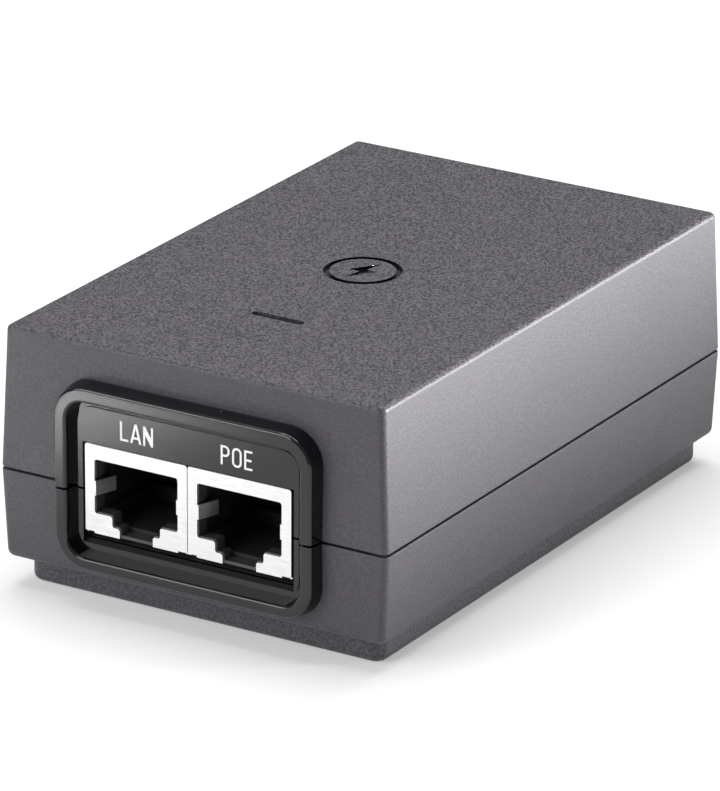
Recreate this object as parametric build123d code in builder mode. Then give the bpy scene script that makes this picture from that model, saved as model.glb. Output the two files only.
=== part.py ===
from build123d import *
import os
from math import atan, degrees

# A power-over-Ethernet injector, in millimetres. +Z is up, the ports face -Y, and the origin is at the
# bottom centre of the whole object. Each size below can be changed by itself.

# ---- case: two shells that meet at the parting line ----
case_width = 55.45          # across the parting line
case_depth = 83.3           # front face to rear face, at the parting line
overall_height = 34.1
parting_height = 15.45
case_bottom = 3.6           # underside of the case, above the underside of the wall bracket
wall = 2.0
roof_lean_x = 0.775         # how far each side leans in on its way up to the roof
roof_lean_y = 0.45
floor_lean_x = 0.575        # how far each side leans in on its way down to the floor
floor_lean_y = 0.2
corner_radius = 0.9
roof_edge_radius = 0.7
floor_edge_radius = 1.1
parting_gap = 0.3           # the shadow line between the shells
parting_radius = 0.15       # rounded lips on both sides of it
tongue_height = 1.4         # the lower shell's tongue, inside the upper shell
fit_gap = 0.15              # clearance of pieces that slot together

# ---- network jacks, side by side in the front ----
jack_width = 14.7
jack_height = 11.6
jack_length = 18.0
jack_seam = 0.1             # between the two jacks' shields
jack_proud = 0.05           # jack face in front of the port panel
shield_sheet = 0.3
shield_bend = 0.35
opening_width = 12.0        # the socket's mouth, latch side down
opening_top = 9.7           # heights above the jack's underside
opening_shoulder = 2.65
latch_width = 6.9
latch_bottom = 1.25
tail_width = 4.8            # the mouth's lowest step, open to the shield's lower edge
mouth_radius = 0.35
shield_notch = (1.3, 0.25)  # relief at each lower corner of the shield's face: width, height
spring_height = 1.9         # the shield's inward spring tabs
spring_bottom = 4.95
spring_reach = 1.25
spring_length = 2.9
spring_sheet = 0.2
spring_relief = 0.25        # the housing's clearance round a spring tab
mouth_inset = 0.1           # the housing's mouth, inside the shield's
mouth_sill = 0.4            # the housing's thin floor below the mouth
front_plate = 1.8           # housing wall behind the face, which the plug's latch catches
cavity_length = 13.0
latch_room_width = 9.4
latch_room_bottom = 0.9
contact_count = 8
contact_pitch = 1.02
contact_width = 0.45
contact_thickness = 0.25
contact_drop = 1.9          # how far a contact's tip hangs below the cavity roof
contact_run = 3.0           # tip of a contact to the cavity's rear
contact_bend = 0.3

# ---- port frame: a raised ring round a shallow recess ----
ring_proud = 2.0
ring_flare = 0.45           # the ring is this much wider all round where it meets the case
ring_lip_side = 1.65
ring_lip_top = 1.9
ring_lip_bottom = 1.45
ring_corner_radius = 4.2
ring_edge_radius = 0.4
recess_depth = 1.7          # ring's front to the channel round the port panel
panel_depth = 1.5           # ring's front to the port panel
channel_width = 0.85
recess_corner_radius = 2.6
panel_side_margin = 0.7     # jack cut-out to the edge of the port panel
panel_bottom_margin = 1.2
panel_top_margin = 4.7
panel_bevel = 0.5
jack_side_gap = 0.35
jack_bottom_gap = 0.97
jack_top_gap = 0.1

# ---- roof details ----
indicator_length = 7.6
indicator_width = 1.25
indicator_behind_jacks = 2.6
pipe_gap = 0.1
pipe_sunk = 0.5             # top of the light pipe below the roof
pipe_flange = 1.0
mark_radius = 5.0
mark_line = 0.8
mark_depth = 0.4
mark_bolt = (1.9, 3.3)      # half width and half height of the bolt in the mark
mark_bolt_tip = 0.9         # how far its tips are to each side
mark_bolt_waist = (0.3, 0.5)
mark_y = -0.6

# ---- wall bracket ----
bracket_side_inset = 2.25   # bracket's side, inside the case's side at the parting line
bracket_front_inset = 2.7
bracket_rear_inset = 1.2
bracket_gap = 0.2           # shadow gap under the case
bracket_floor = 2.0
bracket_rim = 1.6
bracket_corner_radius = 1.8
bracket_edge_radius = 1.0
bracket_travel = 8.0        # slide that frees the hooks
wall_hole_radius = 2.1
wall_hole_head_radius = 3.4
wall_hole_spacing = 40.0
hook_end_margin = 17.0      # front hook's centre to the bracket's front edge
hook_spacing = 51.0         # front hook to rear hook
hook_length = 5.6
hook_stem_width = 2.4
hook_head_width = 5.4
hook_head_height = 1.1
hook_skin = 1.2             # thickness of the case floor that a hook's head holds on to
hook_gap = 0.3
hook_lift = 0.2
pocket_wall = 1.0
latch_tongue_width = 8.0
latch_tongue_length = 13.0
latch_tongue_slot = 1.0
latch_ridge_width = 6.0
latch_ridge_length = 1.5
latch_ridge_height = 0.5    # above the underside of the case
latch_groove_depth = 0.8
bracket_rib = 1.2
bracket_rib_x = 9.5

# ---- circuit board and screws ----
board_thickness = 1.6
board_standoff = 2.75
board_side_gap = 0.5
board_front_gap = 0.35
board_rear_gap = 0.75
post_radius = 2.2
post_inset = 2.6            # post's centre, inside the board's edge
post_spacing = 26.0         # the board's four posts, front to rear
screw_radius = 1.3
screw_gap = 0.03            # a screw's clearance in the hole it threads into
screw_head_radius = 2.6
screw_head_height = 1.9
screw_sink = 0.4            # a screw head's top below the case's underside
screw_drive = (2.6, 0.6, 1.0)   # cross recess in a screw head: length, width, depth
screw_reach = 9.0           # how far a case screw goes into the upper shell
screw_hole_spare = 1.0      # how much deeper its hole is
boss_radius = 3.0
boss_gap = 0.3
board_screw_radius = 1.1
board_screw_head_radius = 2.1
board_screw_head_height = 1.2
board_screw_head_gap = 0.35   # a board screw's head to the nearest heatsink
board_screw_drive = (2.2, 0.5, 0.7)
sheet_thickness = 0.25

# ---- mains inlet, a small three-pin appliance inlet ----
inlet_width = 20.5
inlet_height = 16.2
inlet_length = 18.0
inlet_sunk = 0.55           # inlet's face inside the case's rear face
inlet_gap = 0.25
inlet_cavity = 13.0
inlet_lobe_radius = 3.6
inlet_pin_spacing = 9.2
inlet_pin_rise = 4.9        # earth pin above the line and neutral pins
inlet_web = 1.8
inlet_bevel = 0.4           # round the inlet's face
inlet_pin_radius = 1.2
inlet_pin_gap = 0.05
inlet_pin_length = 10.0
terminal_width = 2.4
terminal_thickness = 0.8

# ---- components on the board ----
part_clearance = 0.7        # round parts that get warm
part_spacing = 0.5          # between other neighbours
headroom = 1.15             # heatsinks to the ceiling
lead_radius = 0.4
lead_length = 1.0           # how far a dipped disc stands above the board
can_rim = 0.6               # rolled edge of a capacitor can
can_groove = (1.6, 0.9, 0.4)    # groove near a can's foot: height, width, depth
chip_stand = 0.15
chip_bevel = 0.25
leg_length = 1.4            # a chip's leg, half of it outside the body
leg_width = 0.5
bulk_radius = 8.0
bulk_height = 19.0
output_capacitor_height = 13.0
fuse_radius = 4.2
fuse_set_back = 1.75        # fuse's front, behind the mains inlet's
fuse_height = 8.0
varistor_radius = 5.0
varistor_thickness = 4.2
y_capacitor_radius = 3.4
y_capacitor_thickness = 3.0
x_capacitor_size = (6.0, 11.6, 12.0)
choke_radius = 6.0
choke_hole_radius = 3.2
choke_height = 6.0
choke_wire = 0.8
choke_split = 3.6           # bare stretch of core between the two windings
core_width = 20.0
core_thickness = 11.0
core_height = 17.0
core_back = 2.8
core_leg = 2.6
core_gap = 0.1              # bobbin's clearance on the core
bobbin_wall = 0.8
bobbin_overhang = 3.5
bobbin_stand = 2.5
rail_end_inset = 0.5        # bobbin's pin rails, inside the core's ends
bobbin_inset = 0.2          # bobbin's flanges inside the core's window
winding_gap = 0.3
winding_corner = 2.6
heatsink_thickness = 2.0
heatsink_fin = 1.3
heatsink_fin_thickness = 1.2
transistor_width = 10.0
transistor_body = (4.4, 9.0)
transistor_tab = (1.3, 15.5)
transistor_hole = 2.8       # screw's centre below the tab's top
transistor_lead = 4.0
transistor_lead_size = (0.6, 0.8)
transistor_lead_pitch = 2.54
secondary_plate_length = 15.0
primary_plate_length = 11.6
inductor_radius = 5.0
spool_radius = 2.5          # the inductor core's neck
inductor_height = 8.0
inductor_flange = 1.2
line_transformer_size = (16.0, 12.0, 6.0)   # chips: length, width between the legs, height
line_transformer_legs = (8, 1.8)    # legs on each side, and their pitch
bridge_size = (8.4, 5.6, 3.3)
bridge_legs = (2, 5.1)
optocoupler_size = (4.6, 4.8, 3.4)
optocoupler_legs = (2, 2.54)
controller_size = (4.9, 3.9, 1.6)
controller_legs = (4, 1.27)
protector_size = (4.3, 3.4, 2.1)
protector_leg_width = 1.6
led_size = (3.2, 2.8, 1.6)
led_lens = (1.1, 0.3)       # radius, height

# ---- places worked out from the sizes ----
case_y = ring_proud / 2
front_y = case_y - case_depth / 2
rear_y = case_y + case_depth / 2
lip_y = front_y - ring_proud
channel_y = lip_y + recess_depth
panel_y = lip_y + panel_depth
jack_front_y = panel_y - jack_proud
jack_rear_y = jack_front_y + jack_length

top_base = parting_height + parting_gap / 2
bottom_rim = parting_height - parting_gap / 2
ceiling = overall_height - wall
floor_top = case_bottom + wall
inner_width = case_width - 2 * wall
inner_depth = case_depth - 2 * wall

board_bottom = floor_top + board_standoff
board_top = board_bottom + board_thickness
board_half_width = inner_width / 2 - floor_lean_x - board_side_gap
board_front_y = front_y + wall + board_front_gap
board_rear_y = rear_y - wall - board_rear_gap
board_y = (board_front_y + board_rear_y) / 2

jack_pitch = jack_width + jack_seam
jacks_half_width = (jack_pitch + jack_width) / 2
cutout_half_width = jacks_half_width + jack_side_gap
cutout_bottom = board_top - jack_bottom_gap
cutout_top = board_top + jack_height + jack_top_gap
panel_half_width = cutout_half_width + panel_side_margin
panel_bottom = cutout_bottom - panel_bottom_margin
panel_top = cutout_top + panel_top_margin
recess_half_width = panel_half_width + channel_width
recess_bottom = panel_bottom - channel_width
recess_top = panel_top + channel_width
ring_width = 2 * (recess_half_width + ring_lip_side)
ring_bottom = recess_bottom - ring_lip_bottom
ring_top = recess_top + ring_lip_top

boss_x = inner_width / 2 - roof_lean_x - boss_radius - boss_gap
boss_front_y = front_y + wall + roof_lean_y + boss_radius + boss_gap
boss_rear_y = rear_y - wall - roof_lean_y - boss_radius - boss_gap
boss_points = [(x, y) for x in (-boss_x, boss_x) for y in (boss_front_y, boss_rear_y)]

bracket_width = case_width - 2 * bracket_side_inset
bracket_front_y = front_y + bracket_front_inset
bracket_rear_y = rear_y - bracket_rear_inset
bracket_depth = bracket_rear_y - bracket_front_y
bracket_y = (bracket_front_y + bracket_rear_y) / 2
bracket_top = case_bottom - bracket_gap
hook_x = boss_x - boss_radius - hook_head_width / 2 - hook_gap
hook_front_y = bracket_front_y + hook_end_margin
hook_points = [(x, hook_front_y + y) for x in (-hook_x, hook_x) for y in (0, hook_spacing)]
hook_head_bottom = case_bottom + hook_skin + hook_lift
pocket_top = hook_head_bottom + hook_head_height + hook_gap
pocket_front = hook_length / 2 + hook_gap + bracket_travel
pocket_back = hook_length / 2 + hook_gap
ridge_y = bracket_rear_y - bracket_rim - latch_tongue_slot - latch_ridge_length

inlet_rear_y = rear_y - inlet_sunk
inlet_front_y = inlet_rear_y - inlet_length
inlet_z = board_top + inlet_height / 2
inlet_pin_low = inlet_z - inlet_pin_rise / 2
inlet_pin_points = [
    (-inlet_pin_spacing / 2, inlet_pin_low),
    (inlet_pin_spacing / 2, inlet_pin_low),
    (0, inlet_pin_low + inlet_pin_rise),
]

# ---- places of the components ----
side_x = board_half_width - part_clearance
jack_side_x = jacks_half_width + part_clearance
inlet_side_x = inlet_width / 2 + part_clearance
indicator_y = jack_rear_y + indicator_behind_jacks
leg_reach = leg_length / 2

# the output capacitors fill the room between a jack, the case's side and a screw boss
room_x = side_x - jack_side_x - part_spacing
room_y = jack_rear_y - boss_front_y - boss_radius - part_spacing
output_capacitor_radius = min(room_x, room_y) / 2
output_capacitor_x = jack_side_x + output_capacitor_radius
output_capacitor_y = jack_rear_y - output_capacitor_radius - part_spacing / 2
line_transformer_y = indicator_y + (led_size[1] + line_transformer_size[1]) / 2 + leg_reach + chip_bevel
inductor_x = side_x - inductor_radius
inductor_y = jack_rear_y + inductor_radius + part_clearance
protector_x = inductor_x - inductor_radius - part_spacing - protector_size[0]
protector_y = inductor_y + leg_reach + part_spacing

transformer_y = line_transformer_y + (line_transformer_size[1] + core_thickness) / 2
transformer_y += leg_reach + bobbin_overhang + part_spacing
bulk_x = side_x - bulk_radius - part_spacing
bulk_y = transformer_y + part_spacing
plate_x = -side_x + heatsink_fin + heatsink_thickness / 2
plate_face_x = plate_x + heatsink_thickness / 2
line_transformer_x = plate_face_x + transistor_body[0] + (part_spacing + line_transformer_size[0]) / 2
transformer_x = (plate_face_x + transistor_body[0] + bulk_x - bulk_radius) / 2
controller_x = transformer_x + core_width / 2 + part_spacing + controller_size[0] / 2
controller_y = bulk_y - bulk_radius - part_spacing - controller_size[1]
optocoupler_x = controller_x + (controller_size[0] + optocoupler_size[0]) / 2 + part_clearance
diode_y = transformer_y - secondary_plate_length / 2 + part_spacing
transistor_y = diode_y + (secondary_plate_length + primary_plate_length) / 2 + part_clearance

# the front posts, and the screw in one of them, stand just in front of the heatsinks
post_x = board_half_width - post_inset
post_front_y = diode_y - secondary_plate_length / 2 - board_screw_head_radius - board_screw_head_gap
post_rear_y = post_front_y + post_spacing
post_points = [(x, y) for x in (-post_x, post_x) for y in (post_front_y, post_rear_y)]
board_screw_points = [(-post_x, post_front_y), (post_x, post_rear_y)]

rectifier_x = -inlet_width / 2 + bridge_size[0] / 4
rectifier_y = inlet_front_y - bridge_size[1] - leg_reach
y_capacitor_x = rectifier_x + bridge_size[0] / 2 + y_capacitor_radius + part_clearance
choke_x = side_x - choke_radius - choke_wire - part_spacing / 2
choke_y = inlet_front_y - choke_radius / 2 - part_spacing
varistor_x = -side_x + varistor_radius + part_spacing
varistor_y = transistor_y + primary_plate_length / 2 + part_clearance + varistor_thickness
fuse_x = -inlet_side_x - fuse_radius
fuse_y = inlet_front_y + fuse_set_back + fuse_radius
x_capacitor_x = inlet_side_x + x_capacitor_size[0] / 2 + part_spacing / 2
x_capacitor_y = choke_y + choke_radius + choke_wire + (part_spacing + x_capacitor_size[1]) / 2

os.makedirs("parts", exist_ok=True)


def write(piece, name):
    """Label a finished piece and write it as a STEP file of its own."""
    piece.part.label = name
    export_step(piece.part, f"parts/{name}.step")


def facing_front(y):
    """The plane at y that faces the front, with X across and Z up."""
    return Plane.XZ.offset(-y)


def leaning_block(low_z, low_size, high_z, high_size, corner):
    """A closed block whose four sides lean evenly from one rectangle to another."""
    reach = max(low_size + high_size)
    with BuildPart() as block:
        for plane, low, high, centre in (
            (Plane.XZ, low_size[0], high_size[0], 0),
            (Plane.YZ, low_size[1], high_size[1], case_y),
        ):
            with BuildSketch(plane):
                with BuildLine():
                    Polyline(
                        (centre - low / 2, low_z),
                        (centre + low / 2, low_z),
                        (centre + high / 2, high_z),
                        (centre - high / 2, high_z),
                        close=True,
                    )
                make_face()
            extrude(amount=reach, both=True, mode=Mode.ADD if plane == Plane.XZ else Mode.INTERSECT)
        upright = block.edges().filter_by(lambda edge: abs(edge.tangent_at(0.5).Z) > 0.9)
        fillet(upright, corner)
    return block.part


def mouth_outline(inset):
    """The stepped outline of a socket's mouth, centred on X, with its underside at zero."""
    steps = [
        (tail_width / 2 - inset, 0),
        (tail_width / 2 - inset, latch_bottom + inset),
        (latch_width / 2 - inset, latch_bottom + inset),
        (latch_width / 2 - inset, opening_shoulder + inset),
        (opening_width / 2 - inset, opening_shoulder + inset),
        (opening_width / 2 - inset, opening_top - inset),
    ]
    with BuildSketch() as outline:
        with BuildLine():
            Polyline(steps + [(-x, z) for x, z in reversed(steps)], close=True)
        make_face()
        fillet(outline.vertices().filter_by_position(Axis.Y, latch_bottom, opening_top), mouth_radius)
    return outline.sketch


def chip(centre, size, legs, pitch, width_of_leg=leg_width):
    """A moulded component with a row of bent legs on each of its two long sides."""
    length, width, height = size
    with Locations((centre[0], centre[1], board_top + chip_stand)):
        body = Box(length, width, height - chip_stand, align=(Align.CENTER, Align.CENTER, Align.MIN))
    chamfer(body.edges().group_by(Axis.Z)[-1], chip_bevel)
    with Locations((centre[0], centre[1], board_top)):
        with GridLocations(pitch, width, legs, 2):
            Box(width_of_leg, leg_length, height / 2, align=(Align.CENTER, Align.CENTER, Align.MIN))


def disc_component(centre, radius, thickness):
    """A dipped disc that stands on two leads, its faces towards the front and back."""
    with BuildSketch(facing_front(centre[1] + thickness / 2)) as face:
        with Locations((centre[0], board_top + lead_length + radius)):
            Circle(radius)
    disc = extrude(face.sketch, amount=thickness)
    fillet(disc.edges(), thickness * 0.3)
    with Locations(*[(centre[0] + side * radius / 2, centre[1], board_top) for side in (-1, 1)]):
        Cylinder(lead_radius, lead_length + radius / 2, align=(Align.CENTER, Align.CENTER, Align.MIN))


def can_component(centres, radius, height):
    """Round capacitor cans that stand on the board, with rolled upper and lower edges."""
    with BuildSketch(Plane.XY.offset(board_top)) as base:
        with Locations(*centres):
            Circle(radius)
    cans = extrude(base.sketch, amount=height)
    fillet(cans.edges(), can_rim)
    groove_height, groove_width, groove_depth = can_groove
    with BuildSketch(Plane.XY.offset(board_top + groove_height)) as groove:
        with Locations(*centres):
            Circle(radius)
            Circle(radius - groove_depth, mode=Mode.SUBTRACT)
    extrude(groove.sketch, amount=groove_width, mode=Mode.SUBTRACT)


def cross_recess(points, z, drive, direction):
    """Cross-shaped driver recesses in screw heads whose outer faces are at z."""
    length, width, depth = drive
    with BuildSketch(Plane.XY.offset(z)) as cross:
        with Locations(*points):
            Rectangle(length, width)
            Rectangle(width, length)
    extrude(cross.sketch, amount=direction * depth, mode=Mode.SUBTRACT)


# ---- port frame: ring, channel and panel, made whole and then shared by the two shells ----
with BuildPart() as port_frame:
    ring_height = ring_top - ring_bottom
    with BuildSketch(facing_front(front_y)):
        with Locations((0, (ring_top + ring_bottom) / 2)):
            RectangleRounded(
                ring_width + 2 * ring_flare, ring_height + 2 * ring_flare, ring_corner_radius + ring_flare
            )
    extrude(amount=ring_proud, taper=degrees(atan(ring_flare / ring_proud)))
    with BuildSketch(facing_front(front_y)):
        with Locations((0, (ring_top + ring_bottom) / 2)):
            RectangleRounded(
                ring_width + 2 * ring_flare, ring_height + 2 * ring_flare, ring_corner_radius + ring_flare
            )
    extrude(amount=-wall / 2)
    with BuildSketch(facing_front(lip_y)):
        with Locations((0, (recess_top + recess_bottom) / 2)):
            RectangleRounded(2 * recess_half_width, recess_top - recess_bottom, recess_corner_radius)
    extrude(amount=-recess_depth, mode=Mode.SUBTRACT)
    fillet(port_frame.faces().sort_by(Axis.Y)[0].edges(), ring_edge_radius)
    with BuildSketch(facing_front(channel_y)):
        with Locations((0, (panel_top + panel_bottom) / 2)):
            RectangleRounded(
                2 * panel_half_width, panel_top - panel_bottom, recess_corner_radius - channel_width / 2
            )
    extrude(amount=recess_depth - panel_depth)
    with Locations((0, front_y, (cutout_top + cutout_bottom) / 2)):
        Box(2 * cutout_half_width, 4 * wall + ring_proud, cutout_top - cutout_bottom, mode=Mode.SUBTRACT)
    lower_edge = (
        port_frame.edges()
        .filter_by(Axis.X)
        .filter_by_position(Axis.Z, cutout_bottom - 0.01, cutout_bottom + 0.01)
        .sort_by(Axis.Y)[0]
    )
    chamfer(lower_edge, panel_bevel)

frame_upper = split(port_frame.part, bisect_by=Plane.XY.offset(top_base), keep=Keep.TOP)
frame_lower = split(port_frame.part, bisect_by=Plane.XY.offset(bottom_rim), keep=Keep.BOTTOM)

# ---- the plain forms of the shells and of the space inside them ----
roof_size = (case_width - 2 * roof_lean_x, case_depth - 2 * roof_lean_y)
floor_size = (case_width - 2 * floor_lean_x, case_depth - 2 * floor_lean_y)
upper_form = leaning_block(top_base, (case_width, case_depth), overall_height, roof_size, corner_radius)
lower_form = leaning_block(case_bottom, floor_size, bottom_rim, (case_width, case_depth), corner_radius)
upper_space = leaning_block(
    top_base,
    (inner_width, inner_depth),
    ceiling,
    (roof_size[0] - 2 * wall, roof_size[1] - 2 * wall),
    corner_radius,
)
lower_space = leaning_block(
    floor_top,
    (floor_size[0] - 2 * wall, floor_size[1] - 2 * wall),
    bottom_rim + tongue_height,
    (inner_width, inner_depth),
    corner_radius,
)


# ---- top cover ----
with BuildPart() as top_cover:
    add(upper_form)
    fillet(top_cover.faces().sort_by(Axis.Z)[-1].edges(), roof_edge_radius)
    fillet(top_cover.faces().sort_by(Axis.Z)[0].edges(), parting_radius)
    add(frame_upper)
    add(upper_space, mode=Mode.SUBTRACT)
    # rebate for the lower shell's tongue
    with BuildSketch(Plane.XY.offset(top_base)):
        with Locations((0, case_y)):
            Rectangle(case_width - wall, case_depth - wall)
    extrude(amount=tongue_height, mode=Mode.SUBTRACT)
    # screw bosses
    with BuildSketch(Plane.XY.offset(top_base)):
        with Locations(*boss_points):
            Circle(boss_radius)
    extrude(amount=ceiling - top_base + wall / 2)
    with BuildSketch(Plane.XY.offset(top_base)):
        with Locations(*boss_points):
            Circle(screw_radius + screw_gap)
    extrude(amount=screw_reach + screw_hole_spare, mode=Mode.SUBTRACT)
    # cut-outs for the jacks and the mains inlet
    with Locations((0, front_y, (cutout_top + cutout_bottom) / 2)):
        Box(2 * cutout_half_width, 4 * wall + ring_proud, cutout_top - cutout_bottom, mode=Mode.SUBTRACT)
    with Locations((0, rear_y, inlet_z)):
        Box(
            inlet_width + 2 * inlet_gap, 4 * wall, inlet_height + 2 * inlet_gap, mode=Mode.SUBTRACT
        )
    # indicator slot
    with BuildSketch(Plane.XY.offset(ceiling - 1)):
        with Locations((0, indicator_y)):
            SlotOverall(indicator_length, indicator_width)
    extrude(amount=wall + 2, mode=Mode.SUBTRACT)
    # debossed mark: a bolt inside a ring
    with BuildSketch(Plane((0, mark_y, overall_height))):
        Circle(mark_radius)
        Circle(mark_radius - mark_line, mode=Mode.SUBTRACT)
        half_bolt = [
            (mark_bolt_tip, mark_bolt[1]),
            (-mark_bolt[0], -mark_bolt_waist[1]),
            (-mark_bolt_waist[0], -mark_bolt_waist[1]),
        ]
        with BuildLine():
            Polyline(half_bolt + [(-x, -y) for x, y in half_bolt], close=True)
        make_face()
    extrude(amount=-mark_depth, mode=Mode.SUBTRACT)
write(top_cover, "top_cover")

# ---- bottom case ----
with BuildPart() as bottom_case:
    add(lower_form)
    fillet(bottom_case.faces().sort_by(Axis.Z)[0].edges(), floor_edge_radius)
    fillet(bottom_case.faces().sort_by(Axis.Z)[-1].edges(), parting_radius)
    add(frame_lower)
    # tongue that locates the top cover
    with BuildSketch(Plane.XY.offset(bottom_rim - wall)):
        with Locations((0, case_y)):
            Rectangle(case_width - wall - 2 * fit_gap, case_depth - wall - 2 * fit_gap)
    extrude(amount=wall + tongue_height)
    add(lower_space, mode=Mode.SUBTRACT)
    # screw tubes, board posts and hook pockets
    with BuildSketch(Plane.XY.offset(case_bottom + wall / 2)):
        with Locations(*boss_points):
            Circle(boss_radius)
    extrude(amount=bottom_rim - case_bottom - wall / 2)
    with BuildSketch(Plane.XY.offset(case_bottom + wall / 2)):
        with Locations(*post_points):
            Circle(post_radius)
    extrude(amount=board_bottom - case_bottom - wall / 2)
    for x, y in hook_points:
        with Locations((x, y + (pocket_back - pocket_front) / 2, case_bottom + wall / 2)):
            Box(
                hook_head_width + 2 * (hook_gap + pocket_wall),
                pocket_front + pocket_back + 2 * pocket_wall,
                pocket_top + pocket_wall - case_bottom - wall / 2,
                align=(Align.CENTER, Align.CENTER, Align.MIN),
            )
    # inside of each pocket, its narrow slot and its entry window
    for x, y in hook_points:
        with Locations((x, y + (pocket_back - pocket_front) / 2, case_bottom + hook_skin)):
            Box(
                hook_head_width + 2 * hook_gap,
                pocket_front + pocket_back,
                pocket_top - case_bottom - hook_skin,
                align=(Align.CENTER, Align.CENTER, Align.MIN),
                mode=Mode.SUBTRACT,
            )
        with Locations((x, y + (pocket_back - pocket_front) / 2, case_bottom)):
            Box(
                hook_stem_width + 2 * hook_gap,
                pocket_front + pocket_back,
                2 * hook_skin,
                align=(Align.CENTER, Align.CENTER, Align.CENTER),
                mode=Mode.SUBTRACT,
            )
        with Locations((x, y - bracket_travel, case_bottom)):
            Box(
                hook_head_width + 2 * hook_gap,
                hook_length + 2 * hook_gap,
                2 * hook_skin + hook_lift,
                align=(Align.CENTER, Align.CENTER, Align.CENTER),
                mode=Mode.SUBTRACT,
            )
    # screw holes, from below
    with BuildSketch(Plane.XY.offset(case_bottom)):
        with Locations(*boss_points):
            Circle(screw_radius + 2 * fit_gap)
    extrude(amount=bottom_rim - case_bottom, mode=Mode.SUBTRACT)
    with BuildSketch(Plane.XY.offset(case_bottom)):
        with Locations(*boss_points):
            Circle(screw_head_radius + fit_gap)
    extrude(amount=screw_head_height + screw_sink, mode=Mode.SUBTRACT)
    with BuildSketch(Plane.XY.offset(board_bottom)):
        with Locations(*board_screw_points):
            Circle(board_screw_radius + screw_gap)
    extrude(amount=-board_standoff, mode=Mode.SUBTRACT)
    # groove that the bracket's latch ridge runs in
    with Locations((0, ridge_y - bracket_travel / 2, case_bottom)):
        Box(
            latch_ridge_width + 2 * hook_gap,
            bracket_travel + latch_ridge_length + 2 * hook_gap,
            2 * latch_groove_depth,
            mode=Mode.SUBTRACT,
        )
    # cut-outs for the jacks and the mains inlet
    with Locations((0, front_y, (cutout_top + cutout_bottom) / 2)):
        Box(2 * cutout_half_width, 4 * wall + ring_proud, cutout_top - cutout_bottom, mode=Mode.SUBTRACT)
    with Locations((0, rear_y, inlet_z)):
        Box(
            inlet_width + 2 * inlet_gap, 4 * wall, inlet_height + 2 * inlet_gap, mode=Mode.SUBTRACT
        )
write(bottom_case, "bottom_case")

# ---- wall bracket: a shallow tray with hooks, screw holes and a springy latch ----
with BuildPart() as wall_bracket:
    with BuildSketch():
        with Locations((0, bracket_y)):
            RectangleRounded(bracket_width, bracket_depth, bracket_corner_radius)
    extrude(amount=bracket_top)
    fillet(wall_bracket.faces().sort_by(Axis.Z)[0].edges(), bracket_edge_radius)
    with BuildSketch(Plane.XY.offset(bracket_floor)):
        with Locations((0, bracket_y)):
            Rectangle(bracket_width - 2 * bracket_rim, bracket_depth - 2 * bracket_rim)
    extrude(amount=bracket_top, mode=Mode.SUBTRACT)
    with Locations(*[(side * bracket_rib_x, bracket_y, bracket_floor / 2) for side in (-1, 1)]):
        Box(
            bracket_rib,
            bracket_depth - bracket_rim,
            (bracket_floor + bracket_top) / 2 - bracket_floor / 2,
            align=(Align.CENTER, Align.CENTER, Align.MIN),
        )
    for x, y in hook_points:
        with Locations((x, y, bracket_floor / 2)):
            Box(
                hook_stem_width,
                hook_length,
                hook_head_bottom + hook_head_height - bracket_floor / 2,
                align=(Align.CENTER, Align.CENTER, Align.MIN),
            )
        with Locations((x, y, hook_head_bottom)):
            Box(
                hook_head_width,
                hook_length,
                hook_head_height,
                align=(Align.CENTER, Align.CENTER, Align.MIN),
            )
    with Locations((0, ridge_y, bracket_floor / 2)):
        Box(
            latch_ridge_width,
            latch_ridge_length,
            case_bottom + latch_ridge_height - bracket_floor / 2,
            align=(Align.CENTER, Align.CENTER, Align.MIN),
        )
    tongue_end = ridge_y + latch_ridge_length
    tongue_y = tongue_end - latch_tongue_length / 2
    slot_width = latch_tongue_width + 2 * latch_tongue_slot
    with BuildSketch():
        with Locations((0, tongue_y + latch_tongue_slot / 2)):
            Rectangle(slot_width, latch_tongue_length + latch_tongue_slot)
        with Locations((0, tongue_y)):
            Rectangle(latch_tongue_width, latch_tongue_length, mode=Mode.SUBTRACT)
    extrude(amount=bracket_floor, mode=Mode.SUBTRACT)
    with Locations(*[(0, bracket_y + side * wall_hole_spacing / 2, bracket_floor) for side in (-1, 1)]):
        CounterSinkHole(wall_hole_radius, wall_hole_head_radius, depth=bracket_floor)
write(wall_bracket, "wall_bracket")

# ---- case screws: pan heads in the floor, threaded into the top cover's bosses ----
screw_seat = case_bottom + screw_sink + screw_head_height
with BuildPart() as case_screws:
    with BuildSketch(Plane.XY.offset(screw_seat)):
        with Locations(*boss_points):
            Circle(screw_head_radius)
    heads = extrude(amount=-screw_head_height)
    fillet(heads.edges().group_by(Axis.Z)[0], screw_head_height / 3)
    with BuildSketch(Plane.XY.offset(screw_seat)):
        with Locations(*boss_points):
            Circle(screw_radius)
    shanks = extrude(amount=top_base + screw_reach - screw_seat)
    chamfer(shanks.edges().group_by(Axis.Z)[-1], screw_radius * 0.6)
    cross_recess(boss_points, screw_seat - screw_head_height, screw_drive, 1)
write(case_screws, "case_screws")

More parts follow.
